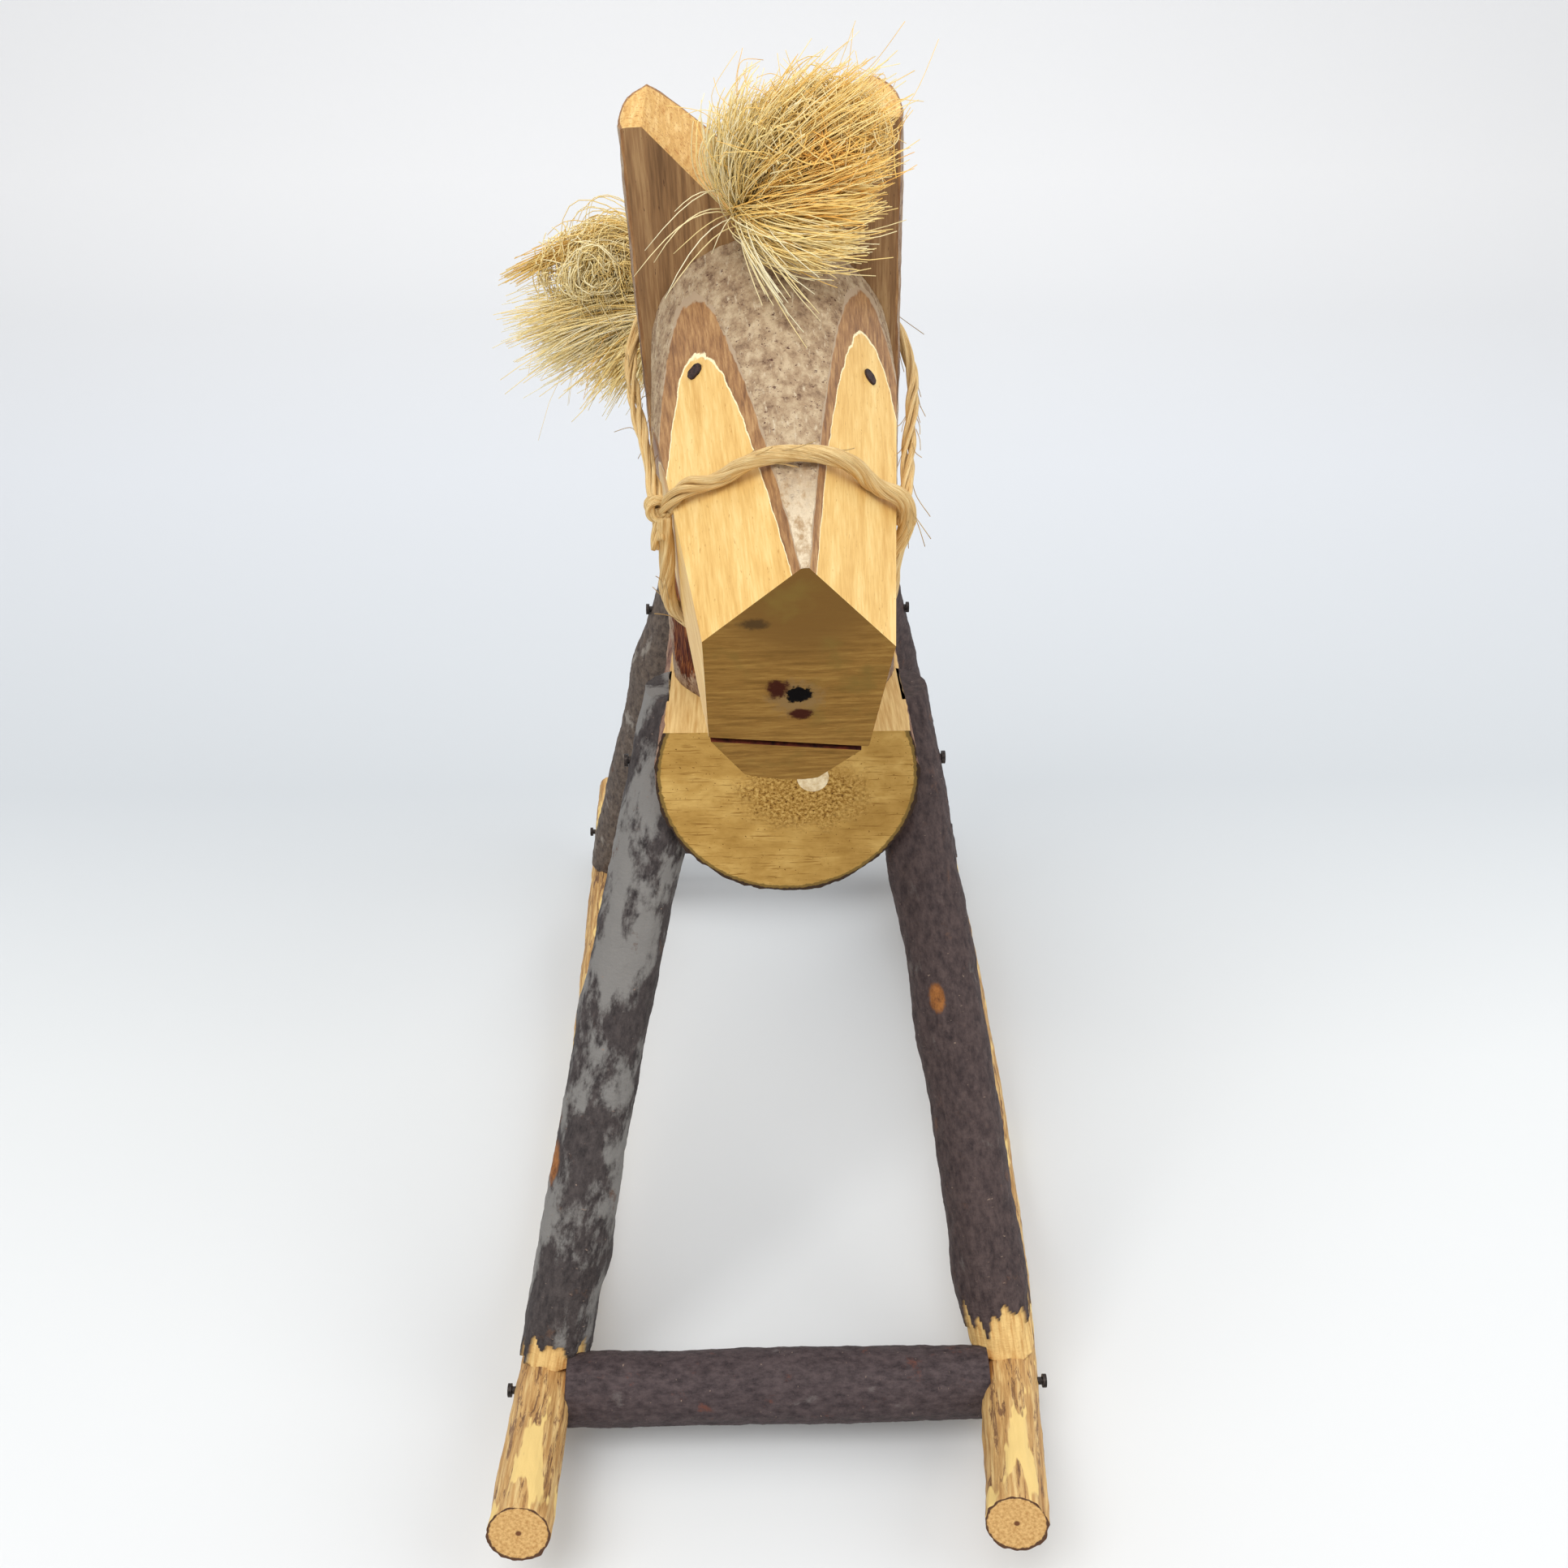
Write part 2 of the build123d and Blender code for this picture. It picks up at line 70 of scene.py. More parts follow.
class Paint:
    """Builds one node-based material. Sockets are passed around as values."""

    def __init__(self, name, roughness=0.75, specular=0.3):
        self.material = bpy.data.materials.new(name)
        self.material.use_nodes = True
        self.nodes = self.material.node_tree.nodes
        self.links = self.material.node_tree.links
        self.shader = self.nodes["Principled BSDF"]
        self.shader.inputs["Roughness"].default_value = roughness
        self.shader.inputs["Specular IOR Level"].default_value = specular

    def feed(self, socket, value):
        """Links a socket, or sets a number or a colour from 0 to 255."""
        if isinstance(value, bpy.types.NodeSocket):
            self.links.new(value, socket)
        else:
            socket.default_value = tone(*value) if isinstance(value, tuple) else value

    def attribute(self, name):
        node = self.nodes.new("ShaderNodeAttribute")
        node.attribute_name = name
        return node

    def wood(self):
        """The log's own coordinates in millimetres: across it, up and along it."""
        return self.attribute("wood").outputs["Vector"]

    def vector(self, operation, first, second=(0.0, 0.0, 0.0)):
        node = self.nodes.new("ShaderNodeVectorMath")
        node.operation = operation
        self.links.new(first, node.inputs[0])
        node.inputs[1].default_value = second
        return node.outputs["Value" if operation == "LENGTH" else "Vector"]

    def noise(self, size, detail=4.0, roughness=0.6, distortion=0.0, source=None):
        """Noise in grains of this size: across the log, along it and, when it differs, up."""
        across, along, up = (*size, size[0])[:3]
        if source is None:
            source = self.wood()
        node = self.nodes.new("ShaderNodeTexNoise")
        self.links.new(self.vector("DIVIDE", source, (across, up, along)), node.inputs["Vector"])
        node.inputs["Scale"].default_value = 1.0
        node.inputs["Detail"].default_value = detail
        node.inputs["Roughness"].default_value = roughness
        node.inputs["Distortion"].default_value = distortion
        return node.outputs["Fac"]

    def sum(self, first, second, operation="ADD"):
        node = self.nodes.new("ShaderNodeMath")
        node.operation = operation
        self.feed(node.inputs[0], first)
        self.feed(node.inputs[1], second)
        return node.outputs[0]

    def times(self, first, second):
        return self.sum(first, second, "MULTIPLY")

    def radius(self):
        """Distance from the log's own axis, in millimetres."""
        split = self.nodes.new("ShaderNodeSeparateXYZ")
        self.links.new(self.wood(), split.inputs[0])
        across, up = split.outputs[0], split.outputs[1]
        return self.sum(self.sum(self.times(across, across), self.times(up, up)), 0.5, "POWER")

    def near(self, point, size):
        """Zero at a point of the log's own coordinates and one at a distance of size from it."""
        offset = self.vector("SUBTRACT", self.wood(), point)
        return self.vector("LENGTH", self.vector("DIVIDE", offset, size))

    def step(self, value, low, high):
        """Rises smoothly from 0 at low to 1 at high."""
        node = self.nodes.new("ShaderNodeMapRange")
        node.interpolation_type = "SMOOTHSTEP"
        self.feed(node.inputs["Value"], value)
        node.inputs["From Min"].default_value = low
        node.inputs["From Max"].default_value = high
        return node.outputs["Result"]

    def ramp(self, share, *stops):
        node = self.nodes.new("ShaderNodeValToRGB")
        elements = node.color_ramp.elements
        while len(elements) < len(stops):
            elements.new(0.5)
        for element, (place, colour) in zip(elements, stops):
            element.position = place
            element.color = tone(*colour)
        self.links.new(share, node.inputs["Fac"])
        return node.outputs["Color"]

    def mix(self, share, first, second):
        node = self.nodes.new("ShaderNodeMix")
        node.data_type = "RGBA"
        self.feed(node.inputs[0], share)
        self.feed(node.inputs[6], first)
        self.feed(node.inputs[7], second)
        return node.outputs[2]

    def blend(self, value, low, high, first, second):
        """The first colour where value is low and the second where it is high."""
        return self.mix(self.step(value, low, high), first, second)

    def finish(self, colour, height=None, depth=0.0002, strength=0.6):
        self.feed(self.shader.inputs["Base Color"], colour)
        if height is not None:
            bump = self.nodes.new("ShaderNodeBump")
            bump.inputs["Strength"].default_value = strength
            bump.inputs["Distance"].default_value = depth
            self.links.new(height, bump.inputs["Height"])
            self.links.new(bump.outputs[0], self.shader.inputs["Normal"])
        return self.material


# ---------------------------------------------------------------- materials


def bark_paint(name, dark, middle, light, pore, pores=0.60, cell=5.0):
    """Bark of a log: mottled, with short dark pores across it and fine grit."""
    paint = Paint(name, roughness=0.85, specular=0.15)
    mottle = paint.noise((cell, cell * 1.6), 6, roughness=0.7)
    colour = paint.ramp(mottle, (0.32, dark), (0.47, middle), (0.62, light))
    grit = paint.noise((0.7, 0.9), 3, roughness=0.7)
    colour = paint.blend(grit, pores, pores + 0.08, colour, pore)
    blots = paint.noise((2.4, 3.2), 5, roughness=0.75)
    colour = paint.blend(blots, 0.61, 0.68, colour, pore)
    return paint, colour, paint.sum(grit, mottle)


def head_bark():
    """Pale grey-beige bark with dark purple-brown pores, flaking to cream towards the muzzle."""
    paint, colour, height = bark_paint(
        "head_bark", (122, 96, 76), (170, 144, 114), (200, 178, 146), (88, 56, 48), 0.62, 2.6
    )
    fibrous = paint.noise((0.8, 4.0), 5, roughness=0.7)
    colour = paint.blend(fibrous, 0.56, 0.68, colour, (206, 188, 160))
    scars = paint.noise((1.5, 1.1), 4, roughness=0.7)
    colour = paint.blend(scars, 0.62, 0.67, colour, (84, 50, 42))
    flakes = paint.noise((2.2, 4.0), 5, roughness=0.7)
    cream = paint.ramp(flakes, (0.38, (176, 146, 110)), (0.56, (226, 208, 178)))
    along = paint.sum(paint.near((0.0, 0.0, 104.0), (60.0, 60.0, 34.0)), flakes)
    colour = paint.blend(along, 1.1, 1.7, cream, colour)
    return paint.finish(colour, paint.sum(height, paint.sum(fibrous, scars)), 0.0009)


def neck_bark():
    """Grey-beige bark with a torn dark red-brown patch low on the horse's right."""
    paint, colour, height = bark_paint(
        "neck_bark", (96, 66, 56), (156, 130, 108), (186, 166, 142), (76, 46, 40)
    )
    torn = paint.near((-24.0, -14.0, 26.0), (11.0, 11.0, 20.0))
    ragged = paint.sum(torn, paint.times(paint.noise((3.0, 5.0), 6), 0.9))
    fibres = paint.noise((0.6, 7.0), 5)
    raw = paint.ramp(fibres, (0.35, (44, 18, 14)), (0.5, (92, 42, 24)), (0.64, (150, 92, 50)))
    colour = paint.blend(ragged, 1.25, 1.35, raw, colour)
    return paint.finish(colour, height, 0.0006)


def body_bark():
    paint, colour, height = bark_paint(
        "body_bark", (92, 62, 52), (140, 104, 86), (172, 142, 118), (70, 44, 40), 0.60, 6.0
    )
    return paint.finish(colour, height, 0.0008)


def branch_bark(name, dark, middle, light, rare, patch=12.0, light_from=0.60, rust=None):
    """Thin bark of a branch with grey patches, lenticels and, where barked is 0, bare wood."""
    paint = Paint(name, roughness=0.7, specular=0.3)
    fine = paint.noise((1.6, 3.0), 6, roughness=0.75)
    colour = paint.ramp(fine, (0.34, dark), (0.62, middle))
    large = paint.noise((patch * 0.8, patch * 1.5), 5, roughness=0.55, distortion=0.3)
    soft = paint.sum(large, paint.times(fine, 0.22))
    soft = paint.sum(soft, 0.11, "SUBTRACT")
    colour = paint.blend(soft, light_from, light_from + 0.10, colour, light)
    reddish = paint.noise((7.0, 9.0), 5, roughness=0.7)
    colour = paint.blend(reddish, 0.60, 0.72, colour, rare)
    lenticels = paint.noise((1.6, 0.7), 2)
    colour = paint.blend(lenticels, 0.71, 0.77, colour, (138, 118, 104))
    if rust:
        spot = paint.sum(paint.near(*rust), paint.times(fine, 1.2))
        orange = paint.ramp(fine, (0.34, (84, 44, 20)), (0.56, (160, 102, 48)))
        colour = paint.blend(spot, 1.25, 1.6, orange, colour)
    bare_grain = paint.noise((0.8, 14.0), 5)
    bare = paint.ramp(bare_grain, (0.35, (196, 148, 84)), (0.6, (232, 196, 128)))
    colour = paint.mix(paint.attribute("barked").outputs["Fac"], bare, colour)
    return paint.finish(colour, paint.sum(fine, lenticels), 0.0004)


def rocker_paint():
    """Peeled branch: tan wood with long streaks of brown inner bark and bare yellow patches."""
    paint = Paint("rocker_wood", roughness=0.62, specular=0.3)
    wood = paint.noise((1.0, 18.0), 6, roughness=0.65)
    colour = paint.ramp(wood, (0.34, (160, 116, 66)), (0.5, (196, 154, 96)), (0.64, (222, 190, 130)))
    streaks = paint.noise((1.5, 11.0), 7, roughness=0.72, distortion=0.5)
    brown = paint.ramp(wood, (0.35, (96, 64, 42)), (0.62, (146, 108, 72)))
    colour = paint.blend(streaks, 0.53, 0.60, colour, brown)
    bare = paint.noise((6.0, 26.0), 3)
    colour = paint.blend(bare, 0.56, 0.59, colour, (232, 200, 128))
    return paint.finish(colour, paint.sum(streaks, wood), 0.0004)


def section(paint, colour, outer, wobble=0.32, band=1.25, bark=(176, 152, 124), edge=(252, 236, 190)):
    """Adds the bark's cut edge to a cut surface: a cream line, brown inner bark, outer bark."""
    waver = paint.sum(paint.noise((5.0, 7.0), 4), 0.5, "SUBTRACT")
    reach = paint.sum(paint.radius(), paint.times(waver, wobble * 2))
    fibres = paint.noise((0.9, 8.0), 6, roughness=0.7)
    brown = paint.ramp(fibres, (0.32, (112, 74, 44)), (0.5, (158, 114, 70)), (0.66, (190, 148, 98)))
    inner = outer - band
    colour = paint.blend(reach, inner - 0.13, inner - 0.08, colour, edge)
    colour = paint.blend(reach, inner - 0.04, inner, colour, brown)
    return paint.blend(reach, outer - 0.12, outer - 0.06, colour, bark)


def planed_paint(name, dark, middle, light, outer, fleck, **rim):
    """Planed wood along the grain, with the bark's section where the cut runs out of the log."""
    paint = Paint(name, roughness=0.5, specular=0.35)
    bands = paint.noise((3.0, 40.0), 4, roughness=0.55)
    fine = paint.noise((0.45, 9.0), 4, roughness=0.6)
    both = paint.sum(paint.times(bands, 0.6), paint.times(fine, 0.4))
    colour = paint.ramp(both, (0.36, dark), (0.5, middle), (0.62, light))
    flecks = paint.noise((0.5, 2.2), 2)
    colour = paint.blend(flecks, 0.66, 0.74, colour, fleck)
    colour = section(paint, colour, outer, **rim)
    return paint.finish(colour, fine, 0.00012, 0.5)


def cheek_wood():
    return planed_paint(
        "cheek_wood", (212, 164, 88), (230, 188, 112), (240, 206, 136), 25.0, (200, 150, 78)
    )


def face_wood():
    """The neck's planed front: brown, with a strong upright grain."""
    return planed_paint(
        "face_wood", (110, 78, 46), (150, 112, 72), (182, 146, 100), 28.0, (90, 60, 36),
        band=0.7, bark=(92, 66, 60), edge=(150, 112, 72),
    )


def ear_wood():
    """The sawn sides of the notch and the ears' tops: rough golden end grain."""
    paint = Paint("ear_wood", roughness=0.7)
    coarse = paint.noise((1.1, 1.1, 7.0), 6, roughness=0.75)
    colour = paint.ramp(coarse, (0.32, (196, 144, 74)), (0.5, (222, 178, 106)), (0.66, (240, 206, 140)))
    speckle = paint.noise((0.9, 0.6), 4, roughness=0.7)
    colour = paint.blend(speckle, 0.54, 0.64, colour, (184, 124, 58))
    colour = section(paint, colour, 28.0, 0.3, 0.7, (112, 82, 72), (196, 150, 90))
    return paint.finish(colour, paint.sum(coarse, speckle), 0.0006)


def muzzle_wood():
    """The muzzle's sawn end: olive brown with streaks across it and a dark split pith."""
    paint = Paint("muzzle_wood", roughness=0.7, specular=0.06)
    streaks = paint.noise((11.0, 3.0, 0.9), 8, roughness=0.78, distortion=0.3)
    colour = paint.ramp(streaks, (0.30, (104, 74, 32)), (0.5, (142, 104, 50)), (0.70, (172, 134, 70)))
    shade = paint.near((0.0, 20.0, 98.5), (15.0, 15.0, 60.0))
    colour = paint.blend(shade, 1.3, 0.5, colour, (124, 90, 44))
    tinge = paint.noise((8.0, 8.0), 3)
    colour = paint.blend(tinge, 0.50, 0.74, colour, (128, 100, 48))
    rag = paint.times(paint.noise((1.5, 1.5), 6, roughness=0.7), 1.6)
    smudge = paint.sum(paint.near((-8.1, 13.2, 98.5), (2.8, 1.3, 9.0)), rag)
    colour = paint.blend(smudge, 1.2, 2.0, (84, 62, 34), colour)
    halo = paint.sum(paint.near((-0.8, -4.0, 98.5), (5.0, 4.4, 9.0)), rag)
    colour = paint.blend(halo, 1.3, 2.0, (138, 108, 66), colour)
    for spot, size in (((-3.9, -1.8, 98.5), (2.4, 2.5, 9.0)), ((0.3, -8.0, 98.5), (2.4, 1.5, 9.0))):
        lobe = paint.sum(paint.near(spot, size), rag)
        colour = paint.blend(lobe, 1.35, 1.9, (62, 26, 14), colour)
    pith = paint.sum(paint.near((-0.1, -3.1, 98.5), (2.9, 2.3, 9.0)), rag)
    colour = paint.blend(pith, 1.5, 1.75, (6, 3, 3), colour)
    return paint.finish(colour, streaks, 0.0002)


def mouth_wood():
    # The mouth slot's sides: near-black red-brown, painted shade for the inside of the narrow saw cut.
    paint = Paint("mouth_wood", roughness=0.8)
    painted_slot_shade = paint.noise((2.0, 2.0), 5)
    colour = paint.ramp(painted_slot_shade, (0.35, (46, 12, 10)), (0.65, (110, 46, 26)))
    return paint.finish(colour, painted_slot_shade, 0.0002)


def chest_wood():
    """The body log's sawn end: golden ochre, saw marks, torn fibres round the pith, thin bark."""
    paint = Paint("chest_wood", roughness=0.75, specular=0.2)
    saw = paint.noise((20.0, 0.4, 8.0), 5, roughness=0.7, distortion=0.4)
    broad = paint.noise((12.0, 5.0), 4)
    both = paint.sum(paint.times(saw, 0.6), paint.times(broad, 0.4))
    colour = paint.ramp(both, (0.36, (160, 120, 54)), (0.5, (184, 144, 74)), (0.62, (206, 168, 96)))
    scratch = paint.noise((9.0, 0.28, 0.5), 3, roughness=0.6)
    colour = paint.blend(scratch, 0.57, 0.66, colour, (146, 106, 46))
    pricks = paint.noise((0.8, 0.6), 2)
    colour = paint.blend(pricks, 0.66, 0.72, colour, (112, 74, 26))
    torn = paint.noise((0.85, 0.85, 0.75), 5, roughness=0.7)
    around = paint.near((3.6, 4.5, 0.0), (17.0, 9.5, 30.0))
    patchy = paint.sum(around, paint.times(paint.noise((4.0, 4.0), 3), 0.9))
    fuzz = paint.ramp(torn, (0.36, (92, 54, 16)), (0.46, (168, 122, 50)), (0.62, (222, 182, 104)))
    inside = paint.step(patchy, 1.6, 1.0)
    colour = paint.mix(inside, colour, fuzz)
    edge = paint.sum(paint.radius(), paint.times(paint.noise((1.4, 1.4), 5), 1.2))
    colour = paint.blend(edge, 30.2, 30.5, colour, (124, 98, 48))
    colour = paint.blend(edge, 30.9, 31.2, colour, (58, 42, 30))
    height = paint.sum(saw, paint.times(torn, paint.times(inside, 3.0)))
    return paint.finish(colour, height, 0.0006)


def seat_wood():
    paint = Paint("seat_wood", roughness=0.55)
    fine = paint.noise((0.7, 14.0), 5)
    colour = paint.ramp(fine, (0.34, (206, 160, 92)), (0.62, (236, 202, 136)))
    return paint.finish(colour, fine, 0.0002)


def end_paint(name, outer):
    """A sawn branch end: tan, with a dark bark ring and a pith dot."""
    paint = Paint(name, roughness=0.7)
    grainy = paint.noise((0.8, 0.8), 5)
    colour = paint.ramp(grainy, (0.34, (184, 136, 76)), (0.62, (222, 180, 116)))
    edge = paint.sum(paint.radius(), paint.noise((1.2, 1.2), 3))
    colour = paint.blend(edge, outer - 0.3, outer, colour, (84, 54, 34))
    colour = paint.blend(paint.radius(), 0.8, 0.45, colour, (110, 66, 34))
    return paint.finish(colour, grainy, 0.0003)


def fibre_paint():
    """Plant fibre: each strand has its own tint, from straw to deep gold."""
    paint = Paint("plant_fibre", roughness=0.42, specular=0.4)
    tint = paint.attribute("tint").outputs["Fac"]
    colour = paint.ramp(
        tint,
        (0.0, (250, 188, 88)),
        (0.3, (255, 214, 122)),
        (0.6, (255, 231, 160)),
        (1.0, (255, 245, 208)),
    )
    return paint.finish(colour)


def cord_paint():
    """Twisted sisal: pale straw with fine darker fibres along each strand."""
    paint = Paint("cord_fibre", roughness=0.55, specular=0.35)
    lines = paint.noise((0.28, 9.0), 4, roughness=0.7)
    colour = paint.ramp(lines, (0.3, (172, 126, 68)), (0.48, (226, 186, 120)), (0.66, (250, 226, 168)))
    return paint.finish(colour, lines, 0.0003, 0.8)


def object_paint(name, dark, light, size, roughness=0.6, metallic=0.0):
    """A small part's material: fine noise between two colours, in the part's own coordinates."""
    paint = Paint(name, roughness=roughness)
    paint.shader.inputs["Metallic"].default_value = metallic
    own = paint.nodes.new("ShaderNodeTexCoord").outputs["Object"]
    speckle = paint.noise((size, size), 5, roughness=0.7, source=own)
    colour = paint.ramp(speckle, (0.34, dark), (0.66, light))
    return paint.finish(colour, speckle, 0.0002)


# ---------------------------------------------------------------- mesh helpers


def add_object(name, data):
    obj = bpy.data.objects.new(name, data)
    bpy.context.collection.objects.link(obj)
    return obj


def write_wood(mesh, woods):
    """Stores where each vertex is in its log's own coordinates, for the materials."""
    layer = mesh.attributes.get("wood")
    if layer is None:
        layer = mesh.attributes.new("wood", "FLOAT_VECTOR", "POINT")
    layer.data.foreach_set("vector", [value for wood in woods for value in wood])


def straight(start, end, side, step, sway=None):
    """Rings of a log from start to end: centre, sideways, up, distance. sway bends it."""
    along = unit(end - start)
    length = (end - start).length
    side = unit(side - along * side.dot(along))
    lift = along.cross(side)
    count = max(2, round(length / step))
    rings = []
    for number in range(count + 1):
        distance = length * number / count
        centre = start + along * distance
        if sway:
            centre += sway(distance / length)
        rings.append((centre, side, lift, distance))
    return rings


def log(name, rings, radius, around, surface, materials):
    """A closed round log. surface gives each point's rise and its barked share."""
    vertices, woods, barked = [], [], []
    for centre, side, lift, distance in rings:
        for number in range(around):
            angle = 2 * math.pi * number / around
            c, s = math.cos(angle), math.sin(angle)
            rise, bark = surface(angle, distance, Vector((c * radius, s * radius, distance)))
            reach = radius + rise
            vertices.append(centre + side * (c * reach) + lift * (s * reach))
            woods.append((c * reach, s * reach, distance))
            barked.append(bark)
    faces = []
    for ring in range(len(rings) - 1):
        for number in range(around):
            a = ring * around + number
            b = ring * around + (number + 1) % around
            faces.append((a, b, b + around, a + around))
    last = (len(rings) - 1) * around
    faces.append(tuple(reversed(range(around))))
    faces.append(tuple(range(last, last + around)))
    mesh = bpy.data.meshes.new(name)
    mesh.from_pydata(vertices, [], faces)
    write_wood(mesh, woods)
    mesh.attributes.new("barked", "FLOAT", "POINT").data.foreach_set("value", barked)
    for material in materials:
        mesh.materials.append(material)
    for polygon in mesh.polygons[:-2]:
        polygon.use_smooth = True
    for polygon in mesh.polygons[-2:]:
        polygon.material_index = min(1, len(materials) - 1)
    return add_object(name, mesh)


def slab(name, corners, offset):
    """A prism used to cut with: a flat outline and the same outline moved by offset."""
    count = len(corners)
    vertices = list(corners) + [corner + offset for corner in corners]
    faces = [tuple(range(count)), tuple(reversed(range(count, 2 * count)))]
    for number in range(count):
        after = (number + 1) % count
        faces.append((number, number + count, after + count, after))
    mesh = bpy.data.meshes.new(name)
    mesh.from_pydata(vertices, [], faces)
    work = bmesh.new()
    work.from_mesh(mesh)
    bmesh.ops.recalc_face_normals(work, faces=work.faces)
    work.to_mesh(mesh)
    work.free()
    return add_object(name, mesh)


def carve(obj, cutter):
    """Takes the cutter out of the piece and removes the cutter."""
    boolean = obj.modifiers.new("carve", "BOOLEAN")
    boolean.operation = "DIFFERENCE"
    boolean.solver = "EXACT"
    boolean.object = cutter
    graph = bpy.context.evaluated_depsgraph_get()
    shaped = bpy.data.meshes.new_from_object(obj.evaluated_get(graph))
    obj.modifiers.clear()
    obj.data = shaped
    bpy.data.objects.remove(cutter)


def plane_cut(obj, point, normal, slot):
    """Removes what lies in front of a plane and closes the cut with that material slot."""
    work = bmesh.new()
    work.from_mesh(obj.data)
    geometry = list(work.verts) + list(work.edges) + list(work.faces)
    cut = bmesh.ops.bisect_plane(
        work, geom=geometry, dist=1e-5, plane_co=point, plane_no=normal, clear_outer=True
    )
    rim = [item for item in cut["geom_cut"] if isinstance(item, bmesh.types.BMEdge)]
    made = bmesh.ops.edgenet_fill(work, edges=rim)
    for face in made["faces"]:
        face.material_index = slot
        face.smooth = False
        face.normal_update()
        if face.normal.dot(normal) < 0:
            face.normal_flip()
    work.to_mesh(obj.data)
    work.free()


def local_wood(obj, origin, side, along):
    """Rewrites the log's own coordinates from where each vertex now is."""
    lift = along.cross(side)
    steps = [vertex.co - origin for vertex in obj.data.vertices]
    write_wood(obj.data, [(step.dot(side), step.dot(lift), step.dot(along)) for step in steps])


def repaint(obj, rules):
    """Gives flat material slots to the faces that a test picks out."""
    for polygon in obj.data.polygons:
        for slot, test in rules:
            if test(polygon.center, polygon.normal):
                polygon.material_index = slot
                polygon.use_smooth = False
                break


def settle(obj, slot, *nodes):
    """Moves a piece from millimetres into the frame and hides the CAD nodes that it stands for."""
    obj.data.transform(Matrix.Translation(CHEST) @ Matrix.Scale(MM, 4))
    obj.data.update()
    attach(obj, "root")
    if nodes:
        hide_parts(*nodes)


def rough(point, cell, stretch, seed=0.0):
    """Smooth noise from -1 to 1 in cells of this size, stretched along the log."""
    return noise.noise(Vector((point.x / cell + seed, point.y / cell, point.z / (cell * stretch))))


def bump_at(angle, distance, at_angle, at_distance, width, height):
    """A round swelling on a log's side."""
    turn = (angle - at_angle + math.pi) % (2 * math.pi) - math.pi
    spread = (turn * 9.0 / width) ** 2 + ((distance - at_distance) / width) ** 2
    return height * math.exp(-spread)


# ---------------------------------------------------------------- body log

BODY_RADIUS = 31.0
BODY_LENGTH = 140.0
BODY_HEIGHT = 148.0
SEAT_HEIGHT = 160.0
SEAT_END = 70.0
PLUG_FRONT = Vector((6, -3, 148))
PLUG_BACK = Vector((6, 16, 148))
PLUG_RADIUS = 3.75


def body_surface(angle, distance, point):
    ridges = rough(point, 3.2, 5.0) * 0.55 + rough(point, 1.2, 2.5, 9.0) * 0.3
    return ridges + rough(point, 14.0, 1.5, 4.0) * 0.5 + 0.1, 1.0


def build_body():
    chest = Vector((0, 0, BODY_HEIGHT))
    rump = Vector((0, BODY_LENGTH, BODY_HEIGHT))
    rings = straight(chest, rump, RIGHT, 0.9)
    materials = [body_bark(), chest_wood(), seat_wood()]
    body = log("body_log_wood", rings, BODY_RADIUS, 260, body_surface, materials)
    low, high = Vector((0, -5, SEAT_HEIGHT)), Vector((0, SEAT_END, SEAT_HEIGHT))
    wide = RIGHT * 40
    waste = slab("seat_waste", [low - wide, low + wide, high + wide, high - wide], UP * 40)
    carve(body, waste)
    carve(body, log_cutter("plug_hole", PLUG_FRONT, PLUG_BACK, PLUG_RADIUS, 40))
    local_wood(body, chest, RIGHT, BACK)

    def on_seat(centre, normal):
        return abs(centre.z - SEAT_HEIGHT) < 0.02 and normal.z > 0.9

    def on_end(centre, normal):
        return abs(normal.y) > 0.98 and (centre.y < 0.1 or centre.y > SEAT_END - 0.1)

    repaint(body, [(2, on_seat), (1, on_end)])
    settle(body, "log_bark", "body_log")


def log_cutter(name, start, end, radius, around):
    """A plain round cutter."""
    along = unit(end - start)
    side = unit(along.cross(UP if abs(along.z) < 0.9 else RIGHT))
    lift = along.cross(side)
    corners = []
    for number in range(around):
        angle = 2 * math.pi * number / around
        corners.append(start + side * (math.cos(angle) * radius) + lift * (math.sin(angle) * radius))
    return slab(name, corners, end - start)


# ---------------------------------------------------------------- neck and ears

NECK_RADIUS = 28.0
NECK_LENGTH = 137.5
NECK_FOOT = Vector((0, 39.0, SEAT_HEIGHT))
NECK_UP = unit(Vector((-math.tan(math.radians(2.3)), -math.tan(math.radians(15.0)), 1)))
NECK_FRONT = unit(RIGHT.cross(NECK_UP))
NECK_ACROSS = NECK_UP.cross(NECK_FRONT)
NECK_TOP = NECK_FOOT + NECK_UP * NECK_LENGTH
FACE_FOOT = NECK_FOOT + NECK_FRONT * 7.0
NOTCH_DEPTH = 25.5
NOTCH_HALF_WIDTH = 22.7
EAR_ROUNDING = 2.4
NOTCH_FROM = 111.0

HEAD_RADIUS = 25.0
HEAD_LENGTH = 98.5
HEAD_PITCH = math.radians(20.6)
HEAD_YAW = math.radians(2.3)
HEAD_FORWARD = Vector(
    (
        math.sin(HEAD_YAW) * math.cos(HEAD_PITCH),
        -math.cos(HEAD_YAW) * math.cos(HEAD_PITCH),
        -math.sin(HEAD_PITCH),
    )
)
HEAD_SIDE = Vector((math.cos(HEAD_YAW), math.sin(HEAD_YAW), 0))
HEAD_UP = HEAD_FORWARD.cross(HEAD_SIDE)
HEAD_BASE = FACE_FOOT + NECK_UP * 89.9


def neck_surface(angle, distance, point):
    bark = rough(point, 5.0, 3.0, 2.0) * 0.35 + rough(point, 1.5, 2.0, 7.0) * 0.2
    torn = 1.0 - min(1.0, max(0.0, ((point - Vector((-24, -14, 46))).length - 12) / 4))
    return bark - 0.2 - 0.7 * torn, 1.0


